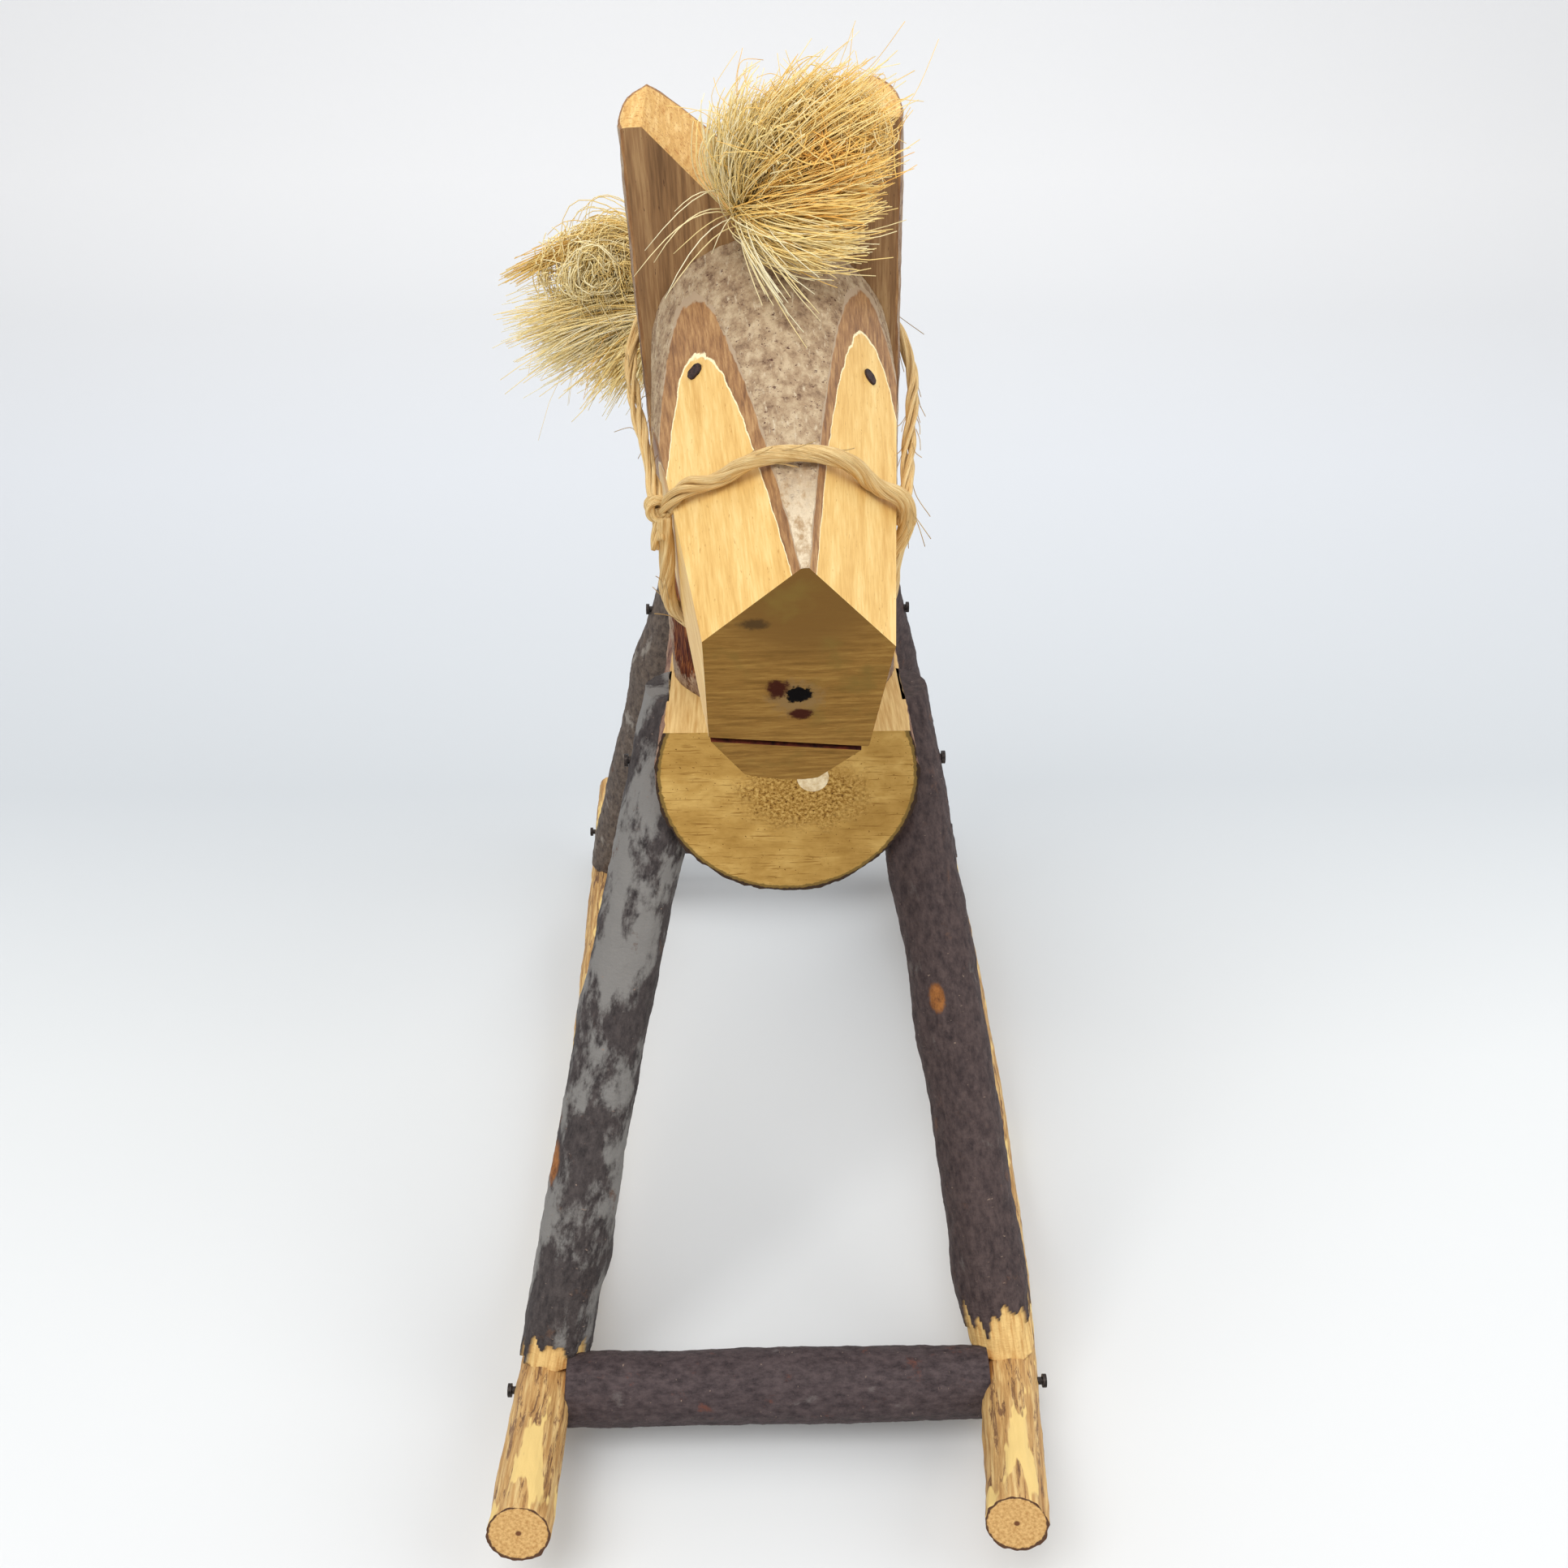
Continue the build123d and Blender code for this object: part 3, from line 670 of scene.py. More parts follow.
def front_point(across, up):
    """A point of the neck's front view, from the middle of its top."""
    return NECK_TOP + NECK_ACROSS * across + NECK_UP * up - NECK_FRONT * 45


def ear_cutter():
    """Everything above the ears' outline, as one prism through the neck."""
    edge = NECK_RADIUS
    outline = [(-60, -EAR_ROUNDING), (-edge, -EAR_ROUNDING)]
    corner = []
    for number in range(1, 7):
        angle = math.radians(90 * number / 6)
        corner.append((edge - EAR_ROUNDING * (1 - math.cos(angle)), EAR_ROUNDING * (math.sin(angle) - 1)))
    outline += [(-x, y) for x, y in corner]
    outline += [(-NOTCH_HALF_WIDTH, 0), (0, -NOTCH_DEPTH), (NOTCH_HALF_WIDTH, 0)]
    outline += list(reversed(corner))
    outline += [(edge, -EAR_ROUNDING), (60, -EAR_ROUNDING), (60, 40), (-60, 40)]
    return slab("ear_waste", [front_point(*place) for place in outline], NECK_FRONT * 90)


def build_neck():
    start = NECK_FOOT - NECK_UP * 20
    rings = straight(start, NECK_TOP + NECK_UP * 4, NECK_ACROSS, 0.9)
    materials = [neck_bark(), ear_wood(), face_wood()]
    neck = log("neck_wood", rings, NECK_RADIUS, 240, neck_surface, materials)
    plane_cut(neck, NECK_FOOT, -UP, 1)
    shoulder = HEAD_BASE - HEAD_UP * 25.2
    wide, high = NECK_ACROSS * 45, NECK_UP * 120
    on_face = shoulder + NECK_FRONT * (FACE_FOOT - shoulder).dot(NECK_FRONT)
    lip = HEAD_FORWARD * 60
    left = on_face - wide
    corners = [left, left + lip, left + lip + high, left + high]
    carve(neck, slab("face_waste", corners, wide * 2))
    carve(neck, ear_cutter())
    local_wood(neck, NECK_FOOT, NECK_ACROSS, NECK_UP)

    def on_front(centre, normal):
        return abs((centre - FACE_FOOT).dot(NECK_FRONT)) < 0.03 and normal.dot(NECK_FRONT) > 0.9

    def in_notch(centre, normal):
        from_foot = centre - NECK_FOOT
        upward = abs(normal.dot(NECK_FRONT)) < 0.02 and normal.dot(NECK_UP) > 0.1 and normal.z > 0.2
        inside = abs(from_foot.dot(NECK_ACROSS)) < NECK_RADIUS - 0.01
        return upward and inside and from_foot.dot(NECK_UP) > NOTCH_FROM

    repaint(neck, [(2, on_front), (1, in_notch)])
    settle(neck, "log_bark", "neck_post")


# ---------------------------------------------------------------- head

# Each facet: degrees from straight up towards +X, where it leaves the round log, depth at the muzzle.
FACETS = [
    (49.2, 4.0, 8.2), (-44.0, 9.0, 6.5), (97.0, 0.0, 10.4), (-92.0, 28.0, 8.7), (137.0, 55.0, 4.3),
    (-124.0, 55.0, 4.1),
]
MOUTH_ROLL = math.radians(-7.0)
MOUTH_DROP = 15.8
MOUTH_DEPTH = 6
MOUTH_HALF_HEIGHT = 0.55
EYE_AHEAD = 34.0
EYE_RADIUS = 1.65
EYE_PROUD = 0.45


def head_point(side, up, forward):
    return HEAD_BASE + HEAD_SIDE * side + HEAD_UP * up + HEAD_FORWARD * forward


def facet_plane(azimuth, start, depth):
    """A point on a planed facet, its normal, and its direction from the head's axis."""
    turn = math.radians(azimuth)
    outward = HEAD_UP * math.cos(turn) + HEAD_SIDE * math.sin(turn)
    slope = math.atan(depth / (HEAD_LENGTH - start))
    origin = head_point(0, 0, HEAD_LENGTH) + outward * (HEAD_RADIUS - depth)
    return origin, outward * math.cos(slope) + HEAD_FORWARD * math.sin(slope), outward


def head_surface(angle, distance, point):
    bark = rough(point, 4.0, 1.5, 3.0) * 0.22 + rough(point, 0.9, 1.2, 5.0) * 0.15
    return bark + 0.08, 1.0


def build_head():
    rings = straight(head_point(0, 0, -25), head_point(0, 0, HEAD_LENGTH), HEAD_SIDE, 0.7)
    materials = [head_bark(), muzzle_wood(), cheek_wood(), mouth_wood()]
    head = log("head_wood", rings, HEAD_RADIUS, 280, head_surface, materials)
    plane_cut(head, FACE_FOOT, -NECK_FRONT, 2)
    for facet in FACETS:
        origin, normal, _ = facet_plane(*facet)
        plane_cut(head, origin, normal, 2)
    level = HEAD_SIDE * math.cos(MOUTH_ROLL) + HEAD_UP * math.sin(MOUTH_ROLL)
    rise = HEAD_UP * math.cos(MOUTH_ROLL) - HEAD_SIDE * math.sin(MOUTH_ROLL)
    middle = head_point(0, -MOUTH_DROP, HEAD_LENGTH - MOUTH_DEPTH)
    outline = ((-30, -1), (30, -1), (30, 1), (-30, 1))
    corners = [middle + level * x + rise * (y * MOUTH_HALF_HEIGHT) for x, y in outline]
    carve(head, slab("mouth_waste", corners, HEAD_FORWARD * (2 * MOUTH_DEPTH)))
    local_wood(head, HEAD_BASE, HEAD_SIDE, HEAD_FORWARD)

    def in_mouth(centre, normal):
        from_middle = centre - middle
        on_side = abs(abs(from_middle.dot(rise)) - MOUTH_HALF_HEIGHT) < 0.03
        return on_side and abs(normal.dot(rise)) > 0.98 and from_middle.dot(HEAD_FORWARD) > -0.01

    repaint(head, [(3, in_mouth)])
    settle(head, "head_wood", "head_log")


def build_eyes():
    """Dark round pegs that stand a little proud of the cheeks."""
    paint = peg_paint()
    for side, azimuth, start, depth in (("left", *FACETS[0]), ("right", *FACETS[1])):
        origin, normal, outward = facet_plane(azimuth, start, depth)
        above = head_point(0, 0, EYE_AHEAD) + outward * 50
        surface = above - normal * (above - origin).dot(normal)

        def burr(angle, distance, point):
            return rough(point, 0.9, 1.0, azimuth) * 0.25 - 0.25 * max(0.0, distance - 3.2), 1.0

        rings = straight(surface - normal * 3, surface + normal * EYE_PROUD, HEAD_FORWARD, 0.15)
        peg = log(f"{side}_eye_peg", rings, EYE_RADIUS, 40, burr, [paint])
        settle(peg, "eye_peg", f"{side}_eye")


# ---------------------------------------------------------------- rockers

ROCKER_RADIUS = 7.0
ROCKER_BEND = 690.0
ROCKER_LOW = 44.0
ROCKER_FRONT = -106.0
ROCKER_REAR = 218.0


def rocker_height(y):
    return ROCKER_RADIUS + ROCKER_BEND - math.sqrt(ROCKER_BEND**2 - (y - ROCKER_LOW) ** 2)


def rocker_centre(side, track, front_bow, rear_bow, y):
    """A point of a rocker's axis: an arc from the side, bowed as a parabola from above."""
    before, after = ROCKER_FRONT - ROCKER_LOW, ROCKER_REAR - ROCKER_LOW
    t = y - ROCKER_LOW
    curve = (front_bow / before - rear_bow / after) / (before - after)
    slope = front_bow / before - curve * before
    return Vector((side * (track - curve * t * t - slope * t), y, rocker_height(y)))


# Side, distance from the middle at the lowest point, how far the front and rear tips bow inward.
ROCKERS = {"left": (1, 60.5, 14.0, 3.0), "right": (-1, 60.0, 0.5, -1.5)}


def rocker_ahead(side, y):
    """The step along a rocker's axis over one millimetre of y."""
    return rocker_centre(*ROCKERS[side], y + 0.5) - rocker_centre(*ROCKERS[side], y - 0.5)


def build_rocker(side, seed):
    steps = 300
    rings = []
    for number in range(steps + 1):
        y = ROCKER_FRONT + (ROCKER_REAR - ROCKER_FRONT) * number / steps
        centre = rocker_centre(*ROCKERS[side], y)
        along = unit(rocker_ahead(side, y))
        sideways = unit(along.cross(UP))
        rings.append((centre, sideways, sideways.cross(along), y - ROCKER_FRONT))

    def surface(angle, distance, point):
        bark = rough(point, 2.2, 6.0, seed) * 0.45 + rough(point, 0.9, 4.0, seed + 3) * 0.2
        return bark + rough(point, 9.0, 2.5, seed + 6) * 0.5 - 0.25, 1.0

    materials = [rocker_paint(), end_paint("rocker_end", 6.9)]
    rocker = log(f"{side}_rocker_wood", rings, ROCKER_RADIUS, 84, surface, materials)
    settle(rocker, "peeled_branch", f"{side}_rocker")


# ---------------------------------------------------------------- legs and crossbars

LEG_RADIUS = 8.5
FOOT_INSET = 2.3
FOOT_RISE = 5.8
HIP_INSET = 2.7
SADDLE_RADIUS = 30.6
BAR_RADIUS = 8.5
BAR_INSET = 5.8


def build_leg(name, side, foot_y, hip_y, seed, paint, lumps, sway_by, ragged):
    sign = ROCKERS[side][0]
    centre = rocker_centre(*ROCKERS[side], foot_y)
    along = unit(rocker_ahead(side, foot_y))
    rise = unit(UP - along * along.z)
    across = along.cross(rise)
    foot = centre + rise * FOOT_RISE - across * (sign * FOOT_INSET)
    hip = Vector((sign * (BODY_RADIUS - HIP_INSET), hip_y, BODY_HEIGHT))
    leg_up = unit(hip - foot)
    start, end = foot - leg_up * 12, hip + leg_up * 26

    def sway(share):
        return Vector((sway_by, 0, 0)) * math.sin(math.pi * min(1.0, share * 1.1))

    def surface(angle, distance, point):
        height = rough(point, 9.0, 2.2, seed) * 0.7 + rough(point, 2.6, 1.6, seed + 3) * 0.3
        height += rough(point, 0.9, 1.0, seed + 5) * 0.12
        for lump in lumps:
            height += bump_at(angle, distance, *lump)
        tear = ragged + rough(Vector((point.x, point.y, 0)), 3.0, 1.0, seed + 8) * 9
        bark = 1.0 if distance > tear else 0.0
        return height - 0.9 * (1 - bark), bark

    rings = straight(start, end, RIGHT, 0.6, sway)
    leg = log(f"{name}_wood", rings, LEG_RADIUS, 96, surface, [paint, end_paint(f"{name}_end", 8.6)])
    plane_cut(leg, foot, -rise, 1)
    plane_cut(leg, Vector((0, 0, SEAT_HEIGHT)), UP, 0)
    before, behind = Vector((0, -40, BODY_HEIGHT)), Vector((0, 180, BODY_HEIGHT))
    carve(leg, log_cutter("body_cutter", before, behind, SADDLE_RADIUS, 96))
    settle(leg, "dark_bark", name)


def build_legs():
    mottled = branch_bark(
        "mottled_bark", (40, 34, 34), (76, 68, 66), (124, 121, 117), (92, 70, 58), 15.0, 0.47,
        ((-8.0, -3.0, 57.0), (3.0, 4.0, 6.0)),
    )
    purple = branch_bark(
        "purple_bark", (44, 33, 34), (84, 69, 66), (98, 92, 88), (96, 70, 58), 12.0, 0.63,
        ((-3.0, -8.0, 98.0), (2.2, 4.0, 4.2)),
    )
    grey = branch_bark("grey_bark", (58, 48, 44), (112, 98, 86), (142, 134, 124), (90, 64, 50), 11.0)
    build_leg(
        "front_right_leg", "right", -54.0, 20.0, 1.0, mottled,
        [(5.4, 140.0, 9.0, 1.5), (0.4, 36.0, 7.0, 1.2), (3.4, 96.0, 6.0, 0.8)], -1.0, 14.0,
    )
    build_leg(
        "front_left_leg", "left", -54.0, 20.0, 12.0, purple,
        [(4.7, 98.0, 3.4, 0.9), (2.6, 30.0, 7.0, 1.3)], 0.8, 20.0,
    )
    build_leg("rear_right_leg", "right", 172.0, 116.0, 23.0, grey, [(3.4, 120.0, 9.0, 1.5)], -1.2, 6.0)
    build_leg("rear_left_leg", "left", 172.0, 116.0, 34.0, purple, [(0.5, 90.0, 8.0, 1.0)], 1.0, 6.0)


def build_crossbars():
    paint = branch_bark(
        "crossbar_bark", (44, 34, 36), (82, 69, 69), (100, 92, 90), (98, 60, 50), 10.0, 0.64
    )
    for name, y, seed in (("front_crossbar", -61.0, 5.0), ("rear_crossbar", 194.0, 15.0)):
        left = rocker_centre(*ROCKERS["left"], y)
        right = rocker_centre(*ROCKERS["right"], y)
        inward = unit(right - left)

        def surface(angle, distance, point):
            height = rough(point, 10.0, 2.0, seed) * 0.5 + rough(point, 2.2, 1.5, seed + 2) * 0.25
            return height + rough(point, 0.8, 1.0, seed + 5) * 0.1, 1.0

        rings = straight(left + inward * BAR_INSET, right - inward * BAR_INSET, BACK, 0.6)
        bar = log(f"{name}_wood", rings, BAR_RADIUS, 96, surface, [paint, end_paint(f"{name}_end", 8.6)])
        settle(bar, "dark_bark", name)


# ---------------------------------------------------------------- cords

# The routes of the two cords of the bridle, in metres in the frame, as control points.
NOSEBAND = [
    (-0.0230, -0.1081, 0.2303), (-0.0204, -0.1118, 0.2358), (-0.0131, -0.1165, 0.2380),
    (-0.0073, -0.1228, 0.2441), (0.0022, -0.1247, 0.2459), (0.0102, -0.1187, 0.2423),
    (0.0143, -0.1130, 0.2361), (0.0204, -0.1090, 0.2331), (0.0216, -0.1061, 0.2270),
    (0.0187, -0.1052, 0.2199), (0.0195, -0.1006, 0.2107), (0.0149, -0.0961, 0.2012),
    (0.0038, -0.0949, 0.1981), (-0.0076, -0.0955, 0.1985), (-0.0179, -0.0981, 0.2028),
    (-0.0240, -0.1025, 0.2111), (-0.0226, -0.1077, 0.2208), (-0.0232, -0.1089, 0.2295),
]
HEADSTALL = [
    (-0.0243, -0.1078, 0.2307), (-0.0274, -0.0851, 0.2345), (-0.0309, -0.0610, 0.2385),
    (-0.0334, -0.0410, 0.2418), (-0.0305, -0.0254, 0.2513), (-0.0140, -0.0116, 0.2566),
    (0.0062, -0.0108, 0.2561), (0.0242, -0.0248, 0.2500), (0.0281, -0.0416, 0.2400),
    (0.0260, -0.0607, 0.2364), (0.0233, -0.0837, 0.2321), (0.0209, -0.1054, 0.2280),
]


KNOT_TURNS = 1.7
KNOT_LENGTH = 0.0030
HIGHEST_STRAY = 0.309


def smooth_line(name, points):
    """Points along the NURBS spline that has the route's points as its control points."""
    curve = bpy.data.curves.new(name, "CURVE")
    curve.dimensions = "3D"
    curve.resolution_u = 24
    spline = curve.splines.new("NURBS")
    spline.points.add(len(points) - 1)
    for point, place in zip(spline.points, points):
        point.co = (*place, 1.0)
    spline.order_u = 3
    spline.use_endpoint_u = True
    guide = add_object(name, curve)
    graph = bpy.context.evaluated_depsgraph_get()
    mesh = bpy.data.meshes.new_from_object(guide.evaluated_get(graph))
    line = [vertex.co.copy() for vertex in mesh.vertices]
    bpy.data.meshes.remove(mesh)
    bpy.data.objects.remove(guide)
    return line


def carried_frames(line):
    """A sideways and an up direction along a line that don't twist, and the distance along it."""
    frames = []
    side = None
    distance = 0.0
    for number, place in enumerate(line):
        before = line[max(0, number - 1)]
        after = line[min(len(line) - 1, number + 1)]
        along = unit(after - before)
        if side is None:
            side = along.orthogonal()
        side = unit(side - along * side.dot(along))
        distance += (place - before).length
        frames.append((place, side, along.cross(side), distance))
    return frames


# Each strand reads another part of the noise, up to this many millimetres away.
GRAIN_SHIFT = 500


class Strands:
    """Collects thin round strands into one mesh, with a tint and the strand's own coordinates."""

    def __init__(self):
        self.vertices, self.faces, self.tints, self.woods = [], [], [], []

    def add(self, line, radii, tint, sides):
        frames = carried_frames(line)
        first = len(self.vertices)
        shift = CHANCE.uniform(0, GRAIN_SHIFT)
        for (place, side, lift, distance), radius in zip(frames, radii):
            for number in range(sides):
                angle = 2 * math.pi * number / sides
                across = side * math.cos(angle) + lift * math.sin(angle)
                self.vertices.append(place + across * radius)
                self.tints.append(tint)
                self.woods.append((across.x * 1.2 + shift, across.y * 1.2 + across.z * 1.2, distance / MM))
        for ring in range(len(line) - 1):
            for number in range(sides):
                a = first + ring * sides + number
                b = first + ring * sides + (number + 1) % sides
                self.faces.append((a, b, b + sides, a + sides))
        last = first + (len(line) - 1) * sides
        self.faces.append(tuple(reversed(range(first, first + sides))))
        self.faces.append(tuple(range(last, last + sides)))

    def build(self, name, material):
        mesh = bpy.data.meshes.new(name)
        mesh.from_pydata(self.vertices, [], self.faces)
        mesh.attributes.new("tint", "FLOAT", "POINT").data.foreach_set("value", self.tints)
        write_wood(mesh, self.woods)
        mesh.polygons.foreach_set("use_smooth", [True] * len(mesh.polygons))
        mesh.materials.append(material)
        return add_object(name, mesh)


def twist(strands, line, ply, ply_radius, offset, pitch, loose=0.0):
    """Lays several plies round a line as a rope."""
    frames = carried_frames(line)
    for number in range(ply):
        start = 2 * math.pi * number / ply
        path = []
        for place, side, lift, distance in frames:
            angle = start + 2 * math.pi * distance / pitch
            reach = offset * (1 + loose * noise.noise(Vector((distance * 90, number * 7.3, 1.5))))
            path.append(place + side * (math.cos(angle) * reach) + lift * (math.sin(angle) * reach))
        strands.add(path, [ply_radius] * len(path), CHANCE.uniform(0.3, 0.9), 10)


def bezier(a, b, c, d, t):
    """A point of a cubic curve."""
    s = 1 - t
    return a * (s * s * s) + b * (3 * s * s * t) + c * (3 * s * t * t) + d * (t * t * t)


def curved(points, segments):
    """A line of points along a cubic curve."""
    return [bezier(*points, number / segments) for number in range(segments + 1)]


def gauss_vector(spread=1.0):
    return Vector([CHANCE.gauss(0, spread) for _ in range(3)])


def gauss_tint(mean, spread):
    """A strand's tint, from 0 to 1."""
    return min(1.0, max(0.0, CHANCE.gauss(mean, spread)))


def add_hairs(strands, line, count, spread, length):
    """Short loose fibres that stand off a cord."""
    for _ in range(count):
        start = CHANCE.randrange(1, len(line) - 2)
        along = unit(line[start + 1] - line[start])
        out = unit(gauss_vector())
        out = unit(out - along * out.dot(along))
        reach = CHANCE.uniform(0.3, 1.0) * length
        first = line[start] + out * spread
        bend = first + along * reach * 0.5 + out * reach * 0.1
        last = first + along * reach + out * reach * CHANCE.uniform(0.1, 0.5)
        strands.add(curved((first, bend, bend, last), 6), [0.00009] * 7, CHANCE.uniform(0.4, 1.0), 3)


def cord_frame(obj, slot, *nodes):
    """A piece that is already in the frame."""
    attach(obj, "root")
    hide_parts(*nodes)


def build_bridle(material):
    band = smooth_line("noseband_line", NOSEBAND)
    strands = Strands()
    for number in range(3):
        twist(strands, band, 4, 0.00056, 0.00086 + 0.00009 * number, 0.034 + 0.003 * number, 0.3)
    add_hairs(strands, band, 30, 0.0014, 0.009)
    cord_frame(strands.build("noseband_cord", material), "plant_fibre", "noseband")
    stall = smooth_line("headstall_line", HEADSTALL)
    strands = Strands()
    twist(strands, stall, 4, 0.00042, 0.00095, 0.060, 0.6)
    twist(strands, stall, 4, 0.00036, 0.00062, 0.046, 0.7)
    add_hairs(strands, stall, 60, 0.0012, 0.014)
    cord_frame(strands.build("headstall_cord", material), "plant_fibre", "headstall")
    for side, end, ahead in (("right", 0, 1), ("left", -1, -2)):
        centre = Vector(HEADSTALL[end])
        build_knot(side, centre, unit(Vector(HEADSTALL[ahead]) - centre), material)


def build_knot(side, centre, along, material):
    """Turns of cord round the headstall's end; the right one has two cut ends that hang down."""
    across = unit(along.cross(UP))
    lift = along.cross(across)
    strands = Strands()
    wrap = 0.0012 if side == "left" else 0.0015
    line = []
    for number in range(49):
        turn = number / 48 * KNOT_TURNS * 2 * math.pi
        shift = along * (number / 48 - 0.5) * KNOT_LENGTH
        wide, high = across * math.cos(turn) * wrap, lift * math.sin(turn) * wrap * 1.1
        line.append(centre + shift + wide + high)
    twist(strands, line, 3, 0.0005, 0.00045, 0.010)
    if side == "right":
        for reach in (Vector((-0.0008, -0.0012, -0.0075)), Vector((0.0006, -0.0016, -0.0055))):
            end = curved([centre + reach * share for share in (0.0, 0.3, 0.7, 1.0)], 8)
            twist(strands, end, 3, 0.00045, 0.0004, 0.012)
    cord_frame(strands.build(f"{side}_knot_cord", material), "plant_fibre", f"{side}_knot")


# ---------------------------------------------------------------- fibre tufts


def place(x, y, z):
    """A point of the horse's own axes, in the frame."""
    return Vector((x, y, z)) * MM + CHEST


def scatter(point, spread):
    """A random point near a point, in metres."""
    return point + gauss_vector(spread * MM)


def lock(strands, count, path, spreads, thickness, tint, tint_spread, segments=10, wave=0.6):
    """Many fibres that follow one curve, each with its own scatter at the four control points."""
    for _ in range(count):
        common = gauss_vector()
        points = []
        for point, spread in zip(path, spreads):
            points.append(scatter(point, spread * 0.6) + common * spread * 0.8 * MM)
        reach = CHANCE.uniform(0.78, 1.0)
        phase = CHANCE.uniform(0, 20)
        line = []
        for number in range(segments + 1):
            t = number / segments
            spot = bezier(*points, t * reach)
            kink = noise.noise_vector(Vector((phase, t * 2.6, 0))) * (wave * MM * t)
            line.append(spot + kink)
        radii = [thickness * MM * (1 - 0.45 * (number / segments) ** 3) for number in range(segments + 1)]
        strands.add(line, radii, gauss_tint(tint, tint_spread), 3)


def frizz(strands, count, centre, sizes, reach, thickness, tint, tint_spread):
    """Short curly fibres that lie over a tuft in all directions."""
    for _ in range(count):
        out = unit(gauss_vector())
        spot = Vector([a * b * CHANCE.uniform(0.75, 1.0) for a, b in zip(out, sizes)]) * MM + centre
        turn = unit(out.cross(gauss_vector()))
        length = reach * CHANCE.uniform(0.5, 1.0) * MM
        path = [spot - turn * length * 0.5 - out * length * 0.2, spot + out * length * 0.12]
        path += [scatter(spot + turn * length * 0.3, 1.0), scatter(spot + turn * length * 0.5, 1.2)]
        strands.add(curved(path, 8), [thickness * MM] * 9, gauss_tint(tint, tint_spread), 3)


def build_forelock(material):
    root, neck = place(-4.3, 8.5, 270), place(-11.5, -5.0, 278)
    strands = Strands()
    # Each lock: second and last control points, scatter at them, count and tint.
    for middle, end, spread, count, tint in (
        ((-14, -12, 287), (-10, -9, 293), 3.0, 230, 0.74),
        ((-9, -15, 290), (-3, -11, 296), 3.4, 280, 0.70),
        ((-3, -19, 292), (8, -12, 299), 3.4, 340, 0.62),
        ((3, -23, 291), (16, -13, 298), 3.4, 380, 0.46),
        ((5, -25, 282), (17, -15, 287), 3.0, 340, 0.28),
        ((3, -25, 276), (17, -16, 280), 2.8, 320, 0.42),
        ((-1, -22, 270), (13, -19, 272), 2.4, 280, 0.56),
        ((-4, -18, 268), (7, -21, 269), 2.2, 160, 0.66),
    ):
        path = [root, neck, place(*middle), place(*end)]
        lock(strands, count, path, (0.8, 2.4, spread, spread), 0.15, tint, 0.16, 12, 1.6)
    frizz(strands, 560, place(6, -13, 289), (14, 8, 10.5), 10, 0.14, 0.58, 0.2)
    frizz(strands, 160, place(8, -15, 288), (8, 7, 7), 9, 0.14, 0.22, 0.12)
    ahead = [root, neck, place(-9, -22, 269), place(4, -38, 259)]
    lock(strands, 24, ahead, (0.8, 1.6, 1.8, 3.2), 0.17, 0.85, 0.1)
    aside = [root, neck, place(-16, -8, 277), place(-26, -9, 262)]
    lock(strands, 8, aside, (0.8, 1.6, 2.4, 4.0), 0.15, 0.8, 0.1)
    hair = strands.build("forelock_fibres", material)
    cord_frame(hair, "plant_fibre", "forelock")
    strays = Strands()
    for _ in range(170):
        start = place(CHANCE.uniform(-14, 19), CHANCE.uniform(-18, -8), CHANCE.uniform(280, 297))
        out = Vector((CHANCE.gauss(0.0, 0.6), CHANCE.gauss(-0.2, 0.5), abs(CHANCE.gauss(0.6, 0.5))))
        reach = CHANCE.uniform(4, 10) * MM
        bend = scatter(start + out * reach * 0.5, 1.8)
        end = scatter(start + out * reach, 2.4)
        end.z = min(end.z, HIGHEST_STRAY)
        line = curved((start, bend, bend, end), 8)
        strays.add(line, [0.00007] * 9, CHANCE.uniform(0.1, 0.6), 3)
    loose = strays.build("forelock_strays", material)
    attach(loose, "root")


def swirl(strands, count, centre, width, tint):
    """Fibres that curl round a point in the plane that faces the front."""
    for _ in range(count):
        reach = CHANCE.uniform(0.25, 1.0) * width * MM
        start, depth = CHANCE.uniform(0, 2 * math.pi), CHANCE.gauss(0, 1.4) * MM
        line = []
        for number in range(13):
            angle = start + number / 12 * 3.6
            swell = reach * (1 - 0.25 * number / 12)
            wander = noise.noise_vector(Vector((start, angle, 0.5))) * 0.003
            turned = Vector((math.cos(angle) * swell, depth, math.sin(angle) * swell * 0.8))
            line.append(centre + turned + wander)
        strands.add(line, [0.00014] * 13, gauss_tint(tint, 0.15), 3)


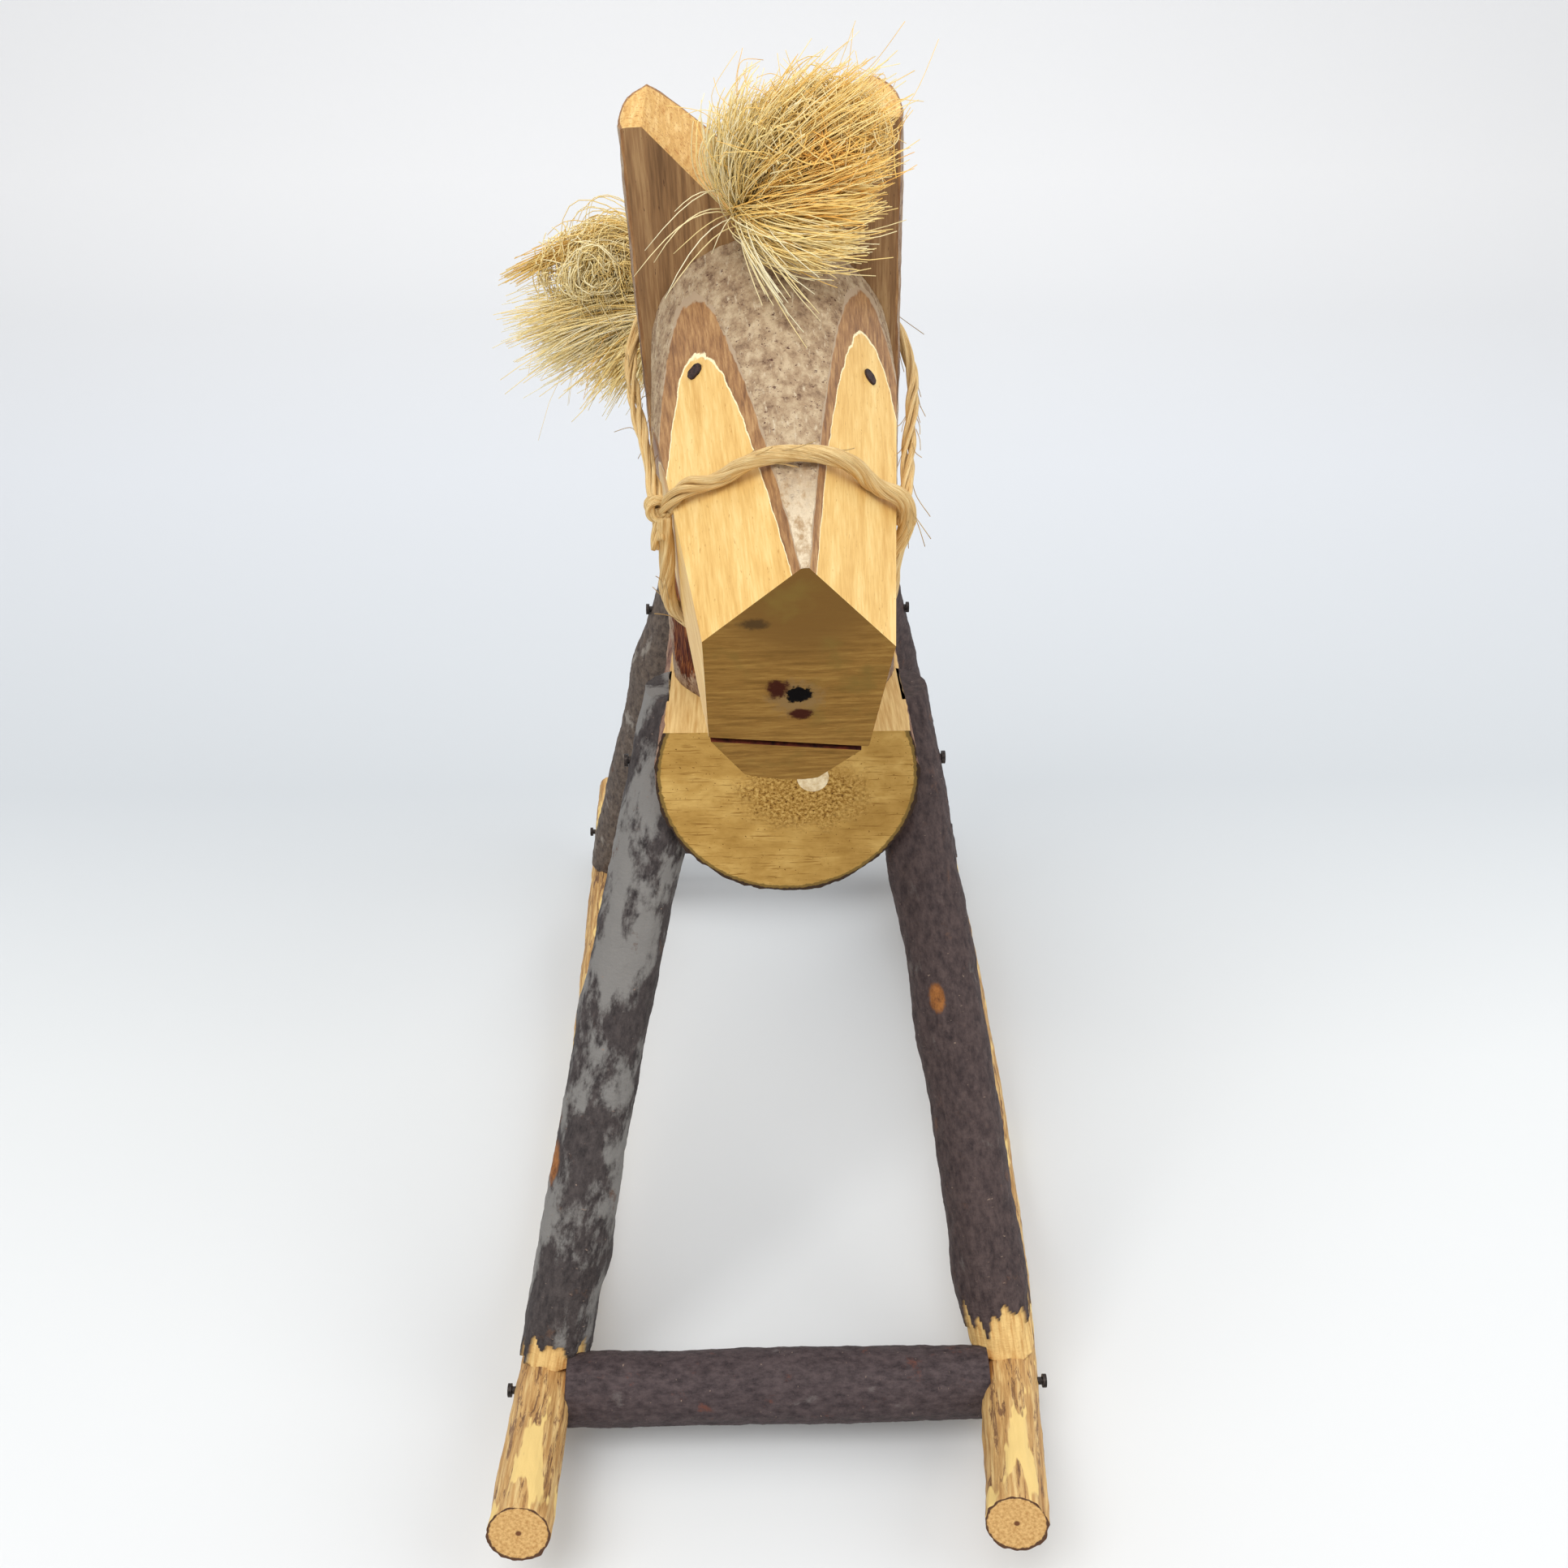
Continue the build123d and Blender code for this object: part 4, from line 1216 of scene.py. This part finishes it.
def build_mane(material):
    root = place(-14, 38, 243)
    high, low = place(-30, 47, 264), place(-28, 45, 250)
    strands = Strands()
    # Each lock: first bend, second and last control points, scatter at them, count and tint.
    for bend, middle, end, spread, count, tint in (
        (high, (-46, 46, 272), (-44, 42, 250), 3.4, 380, 0.62),
        (high, (-52, 46, 262), (-40, 41, 244), 3.4, 330, 0.72),
        (high, (-40, 46, 264), (-33, 40, 252), 3.0, 260, 0.52),
        (low, (-44, 44, 248), (-61, 42, 243), 3.0, 420, 0.66),
        (low, (-40, 43, 243), (-56, 41, 235), 2.8, 380, 0.76),
        (low, (-34, 42, 240), (-44, 40, 230), 3.2, 360, 0.6),
        (low, (-30, 42, 238), (-36, 40, 231), 3.0, 240, 0.5),
    ):
        path = [root, bend, place(*middle), place(*end)]
        lock(strands, count, path, (0.8, 2.6, spread, spread * 1.1), 0.15, tint, 0.16, 12, 1.4)
    swirl(strands, 70, place(-42, 39, 256), 9.0, 0.74)
    frizz(strands, 260, place(-44, 43, 256), (13, 5, 10), 10, 0.14, 0.7, 0.16)
    stub = [root, high, place(-44, 46, 264), place(-63, 41, 254)]
    lock(strands, 190, stub, (0.8, 1.2, 1.0, 1.2), 0.16, 0.4, 0.14, 10, 0.2)
    stray = [root, low, place(-44, 44, 250), place(-48, 42, 226)]
    lock(strands, 46, stray, (0.8, 4.0, 6.0, 7.0), 0.08, 0.4, 0.2, 10, 2.0)
    cord_frame(strands.build("mane_fibres", material), "plant_fibre", "mane")


def build_tail(material):
    root = place(0, 133, 162)
    out = place(0, 150, 168)
    strands = Strands()
    for middle, end, spread, count, tint in (
        ((0, 166, 150), (0, 160, 96), 3.2, 900, 0.6),
        ((3, 165, 140), (5, 164, 104), 2.8, 350, 0.5),
        ((-3, 162, 138), (-5, 158, 108), 2.8, 350, 0.68),
    ):
        path = [root, out, place(*middle), place(*end)]
        lock(strands, count, path, (0.8, 1.6, spread, spread * 1.2), 0.15, tint, 0.16, 11)
    cord_frame(strands.build("tail_fibres", material), "plant_fibre", "tail")


# ---------------------------------------------------------------- CAD nodes kept as they are


def dress(node, material):
    """A better material for a CAD node whose shape stays."""
    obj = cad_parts[node]
    obj.data.materials.clear()
    obj.data.materials.append(material)


def peg_paint():
    paint = Paint("eye_peg", roughness=0.6)
    char = paint.noise((0.7, 0.7), 5)
    colour = paint.ramp(char, (0.34, (16, 8, 10)), (0.66, (70, 44, 38)))
    return paint.finish(colour, char, 0.0003)


def dress_small_parts():
    iron = object_paint("nail_iron", (30, 28, 28), (78, 70, 66), 0.0006, 0.45, 0.8)
    for node in ("leg_nails", "foot_nails", "crossbar_nails"):
        dress(node, iron)
    plug = object_paint("plug_wood", (206, 176, 128), (240, 222, 184), 0.0012, 0.6)
    for node in ("chest_plug", "neck_dowel", "head_dowel"):
        dress(node, plug)


# ---------------------------------------------------------------- studio


LAMP_TARGET = Vector((0, 0, 0.12))
LENS = 36.0 * 1935 / 1932
CAMERA_PITCH = math.radians(62.0)
CAMERA_YAW = math.radians(-1.3)


def build_studio():
    """A pale floor that curves up into a backdrop, with painted shade as a grey band behind the horse and
    painted light whitening the backdrop; soft lights; and the camera.
    """
    profile = [(-3.0, 0.0), (1.2, 0.0)]
    for number in range(1, 17):
        angle = math.pi / 2 * number / 16
        profile.append((1.2 + 0.8 * math.sin(angle), 0.8 - 0.8 * math.cos(angle)))
    profile.append((2.0, 4.0))
    vertices = [(x, y, z) for y, z in profile for x in (-4.0, 4.0)]
    faces = [(2 * n, 2 * n + 1, 2 * n + 3, 2 * n + 2) for n in range(len(profile) - 1)]
    mesh = bpy.data.meshes.new("floor")
    mesh.from_pydata(vertices, [], faces)
    mesh.polygons.foreach_set("use_smooth", [True] * len(faces))
    paint = Paint("floor_paper", roughness=0.6, specular=0.2)
    split = paint.nodes.new("ShaderNodeSeparateXYZ")
    paint.links.new(paint.nodes.new("ShaderNodeTexCoord").outputs["Object"], split.inputs[0])
    # The paper's colour runs along its depth: even pale grey in front, a grey band of painted shade just
    # behind the horse, then painted light whitening it up the backdrop.
    back = paint.sum(paint.sum(split.outputs[1], 0.2), 2.2, "DIVIDE")
    shade = paint.ramp(
        back,
        (0.0, (220, 221, 221)),
        (0.10, (218, 220, 220)),
        (0.19, (200, 204, 207)),
        (0.40, (224, 227, 231)),
        (0.8, (255, 255, 255)),
    )
    mesh.materials.append(paint.finish(shade))
    floor = add_object("floor", mesh)

    world = bpy.data.worlds.new("studio")
    world.use_nodes = True
    sky = world.node_tree.nodes["Background"].inputs
    sky["Color"].default_value = (0.97, 0.98, 1.0, 1.0)
    sky["Strength"].default_value = 0.60
    bpy.context.scene.world = world

    for name, spot, size, power in (
        ("key", (-0.45, -0.75, 1.25), 0.9, 11.5),
        ("fill", (0.9, -0.5, 0.8), 0.9, 5.0),
        ("top", (0.1, 0.5, 1.5), 1.4, 7.5),
    ):
        lamp = bpy.data.lights.new(name, "AREA")
        lamp.size = size
        lamp.energy = power
        light = add_object(name, lamp)
        light.location = spot
        light.rotation_euler = (LAMP_TARGET - Vector(spot)).to_track_quat("-Z", "Y").to_euler()

    lens = bpy.data.cameras.new("camera")
    lens.sensor_width = 36.0
    lens.lens = LENS
    lens.clip_start = 0.01
    camera = add_object("camera", lens)
    camera.location = place(-8.2, -326.5, 320.0)
    camera.rotation_euler = (CAMERA_PITCH, 0.0, CAMERA_YAW)
    bpy.context.scene.camera = camera
    bpy.context.scene.view_settings.view_transform = "Standard"


# ---------------------------------------------------------------- the horse

build_studio()
build_body()
build_neck()
build_head()
build_eyes()
build_rocker("left", 3.0)
build_rocker("right", 21.0)
build_legs()
build_crossbars()
build_bridle(cord_paint())
fibre = fibre_paint()
build_forelock(fibre)
build_mane(fibre)
build_tail(fibre)
dress_small_parts()
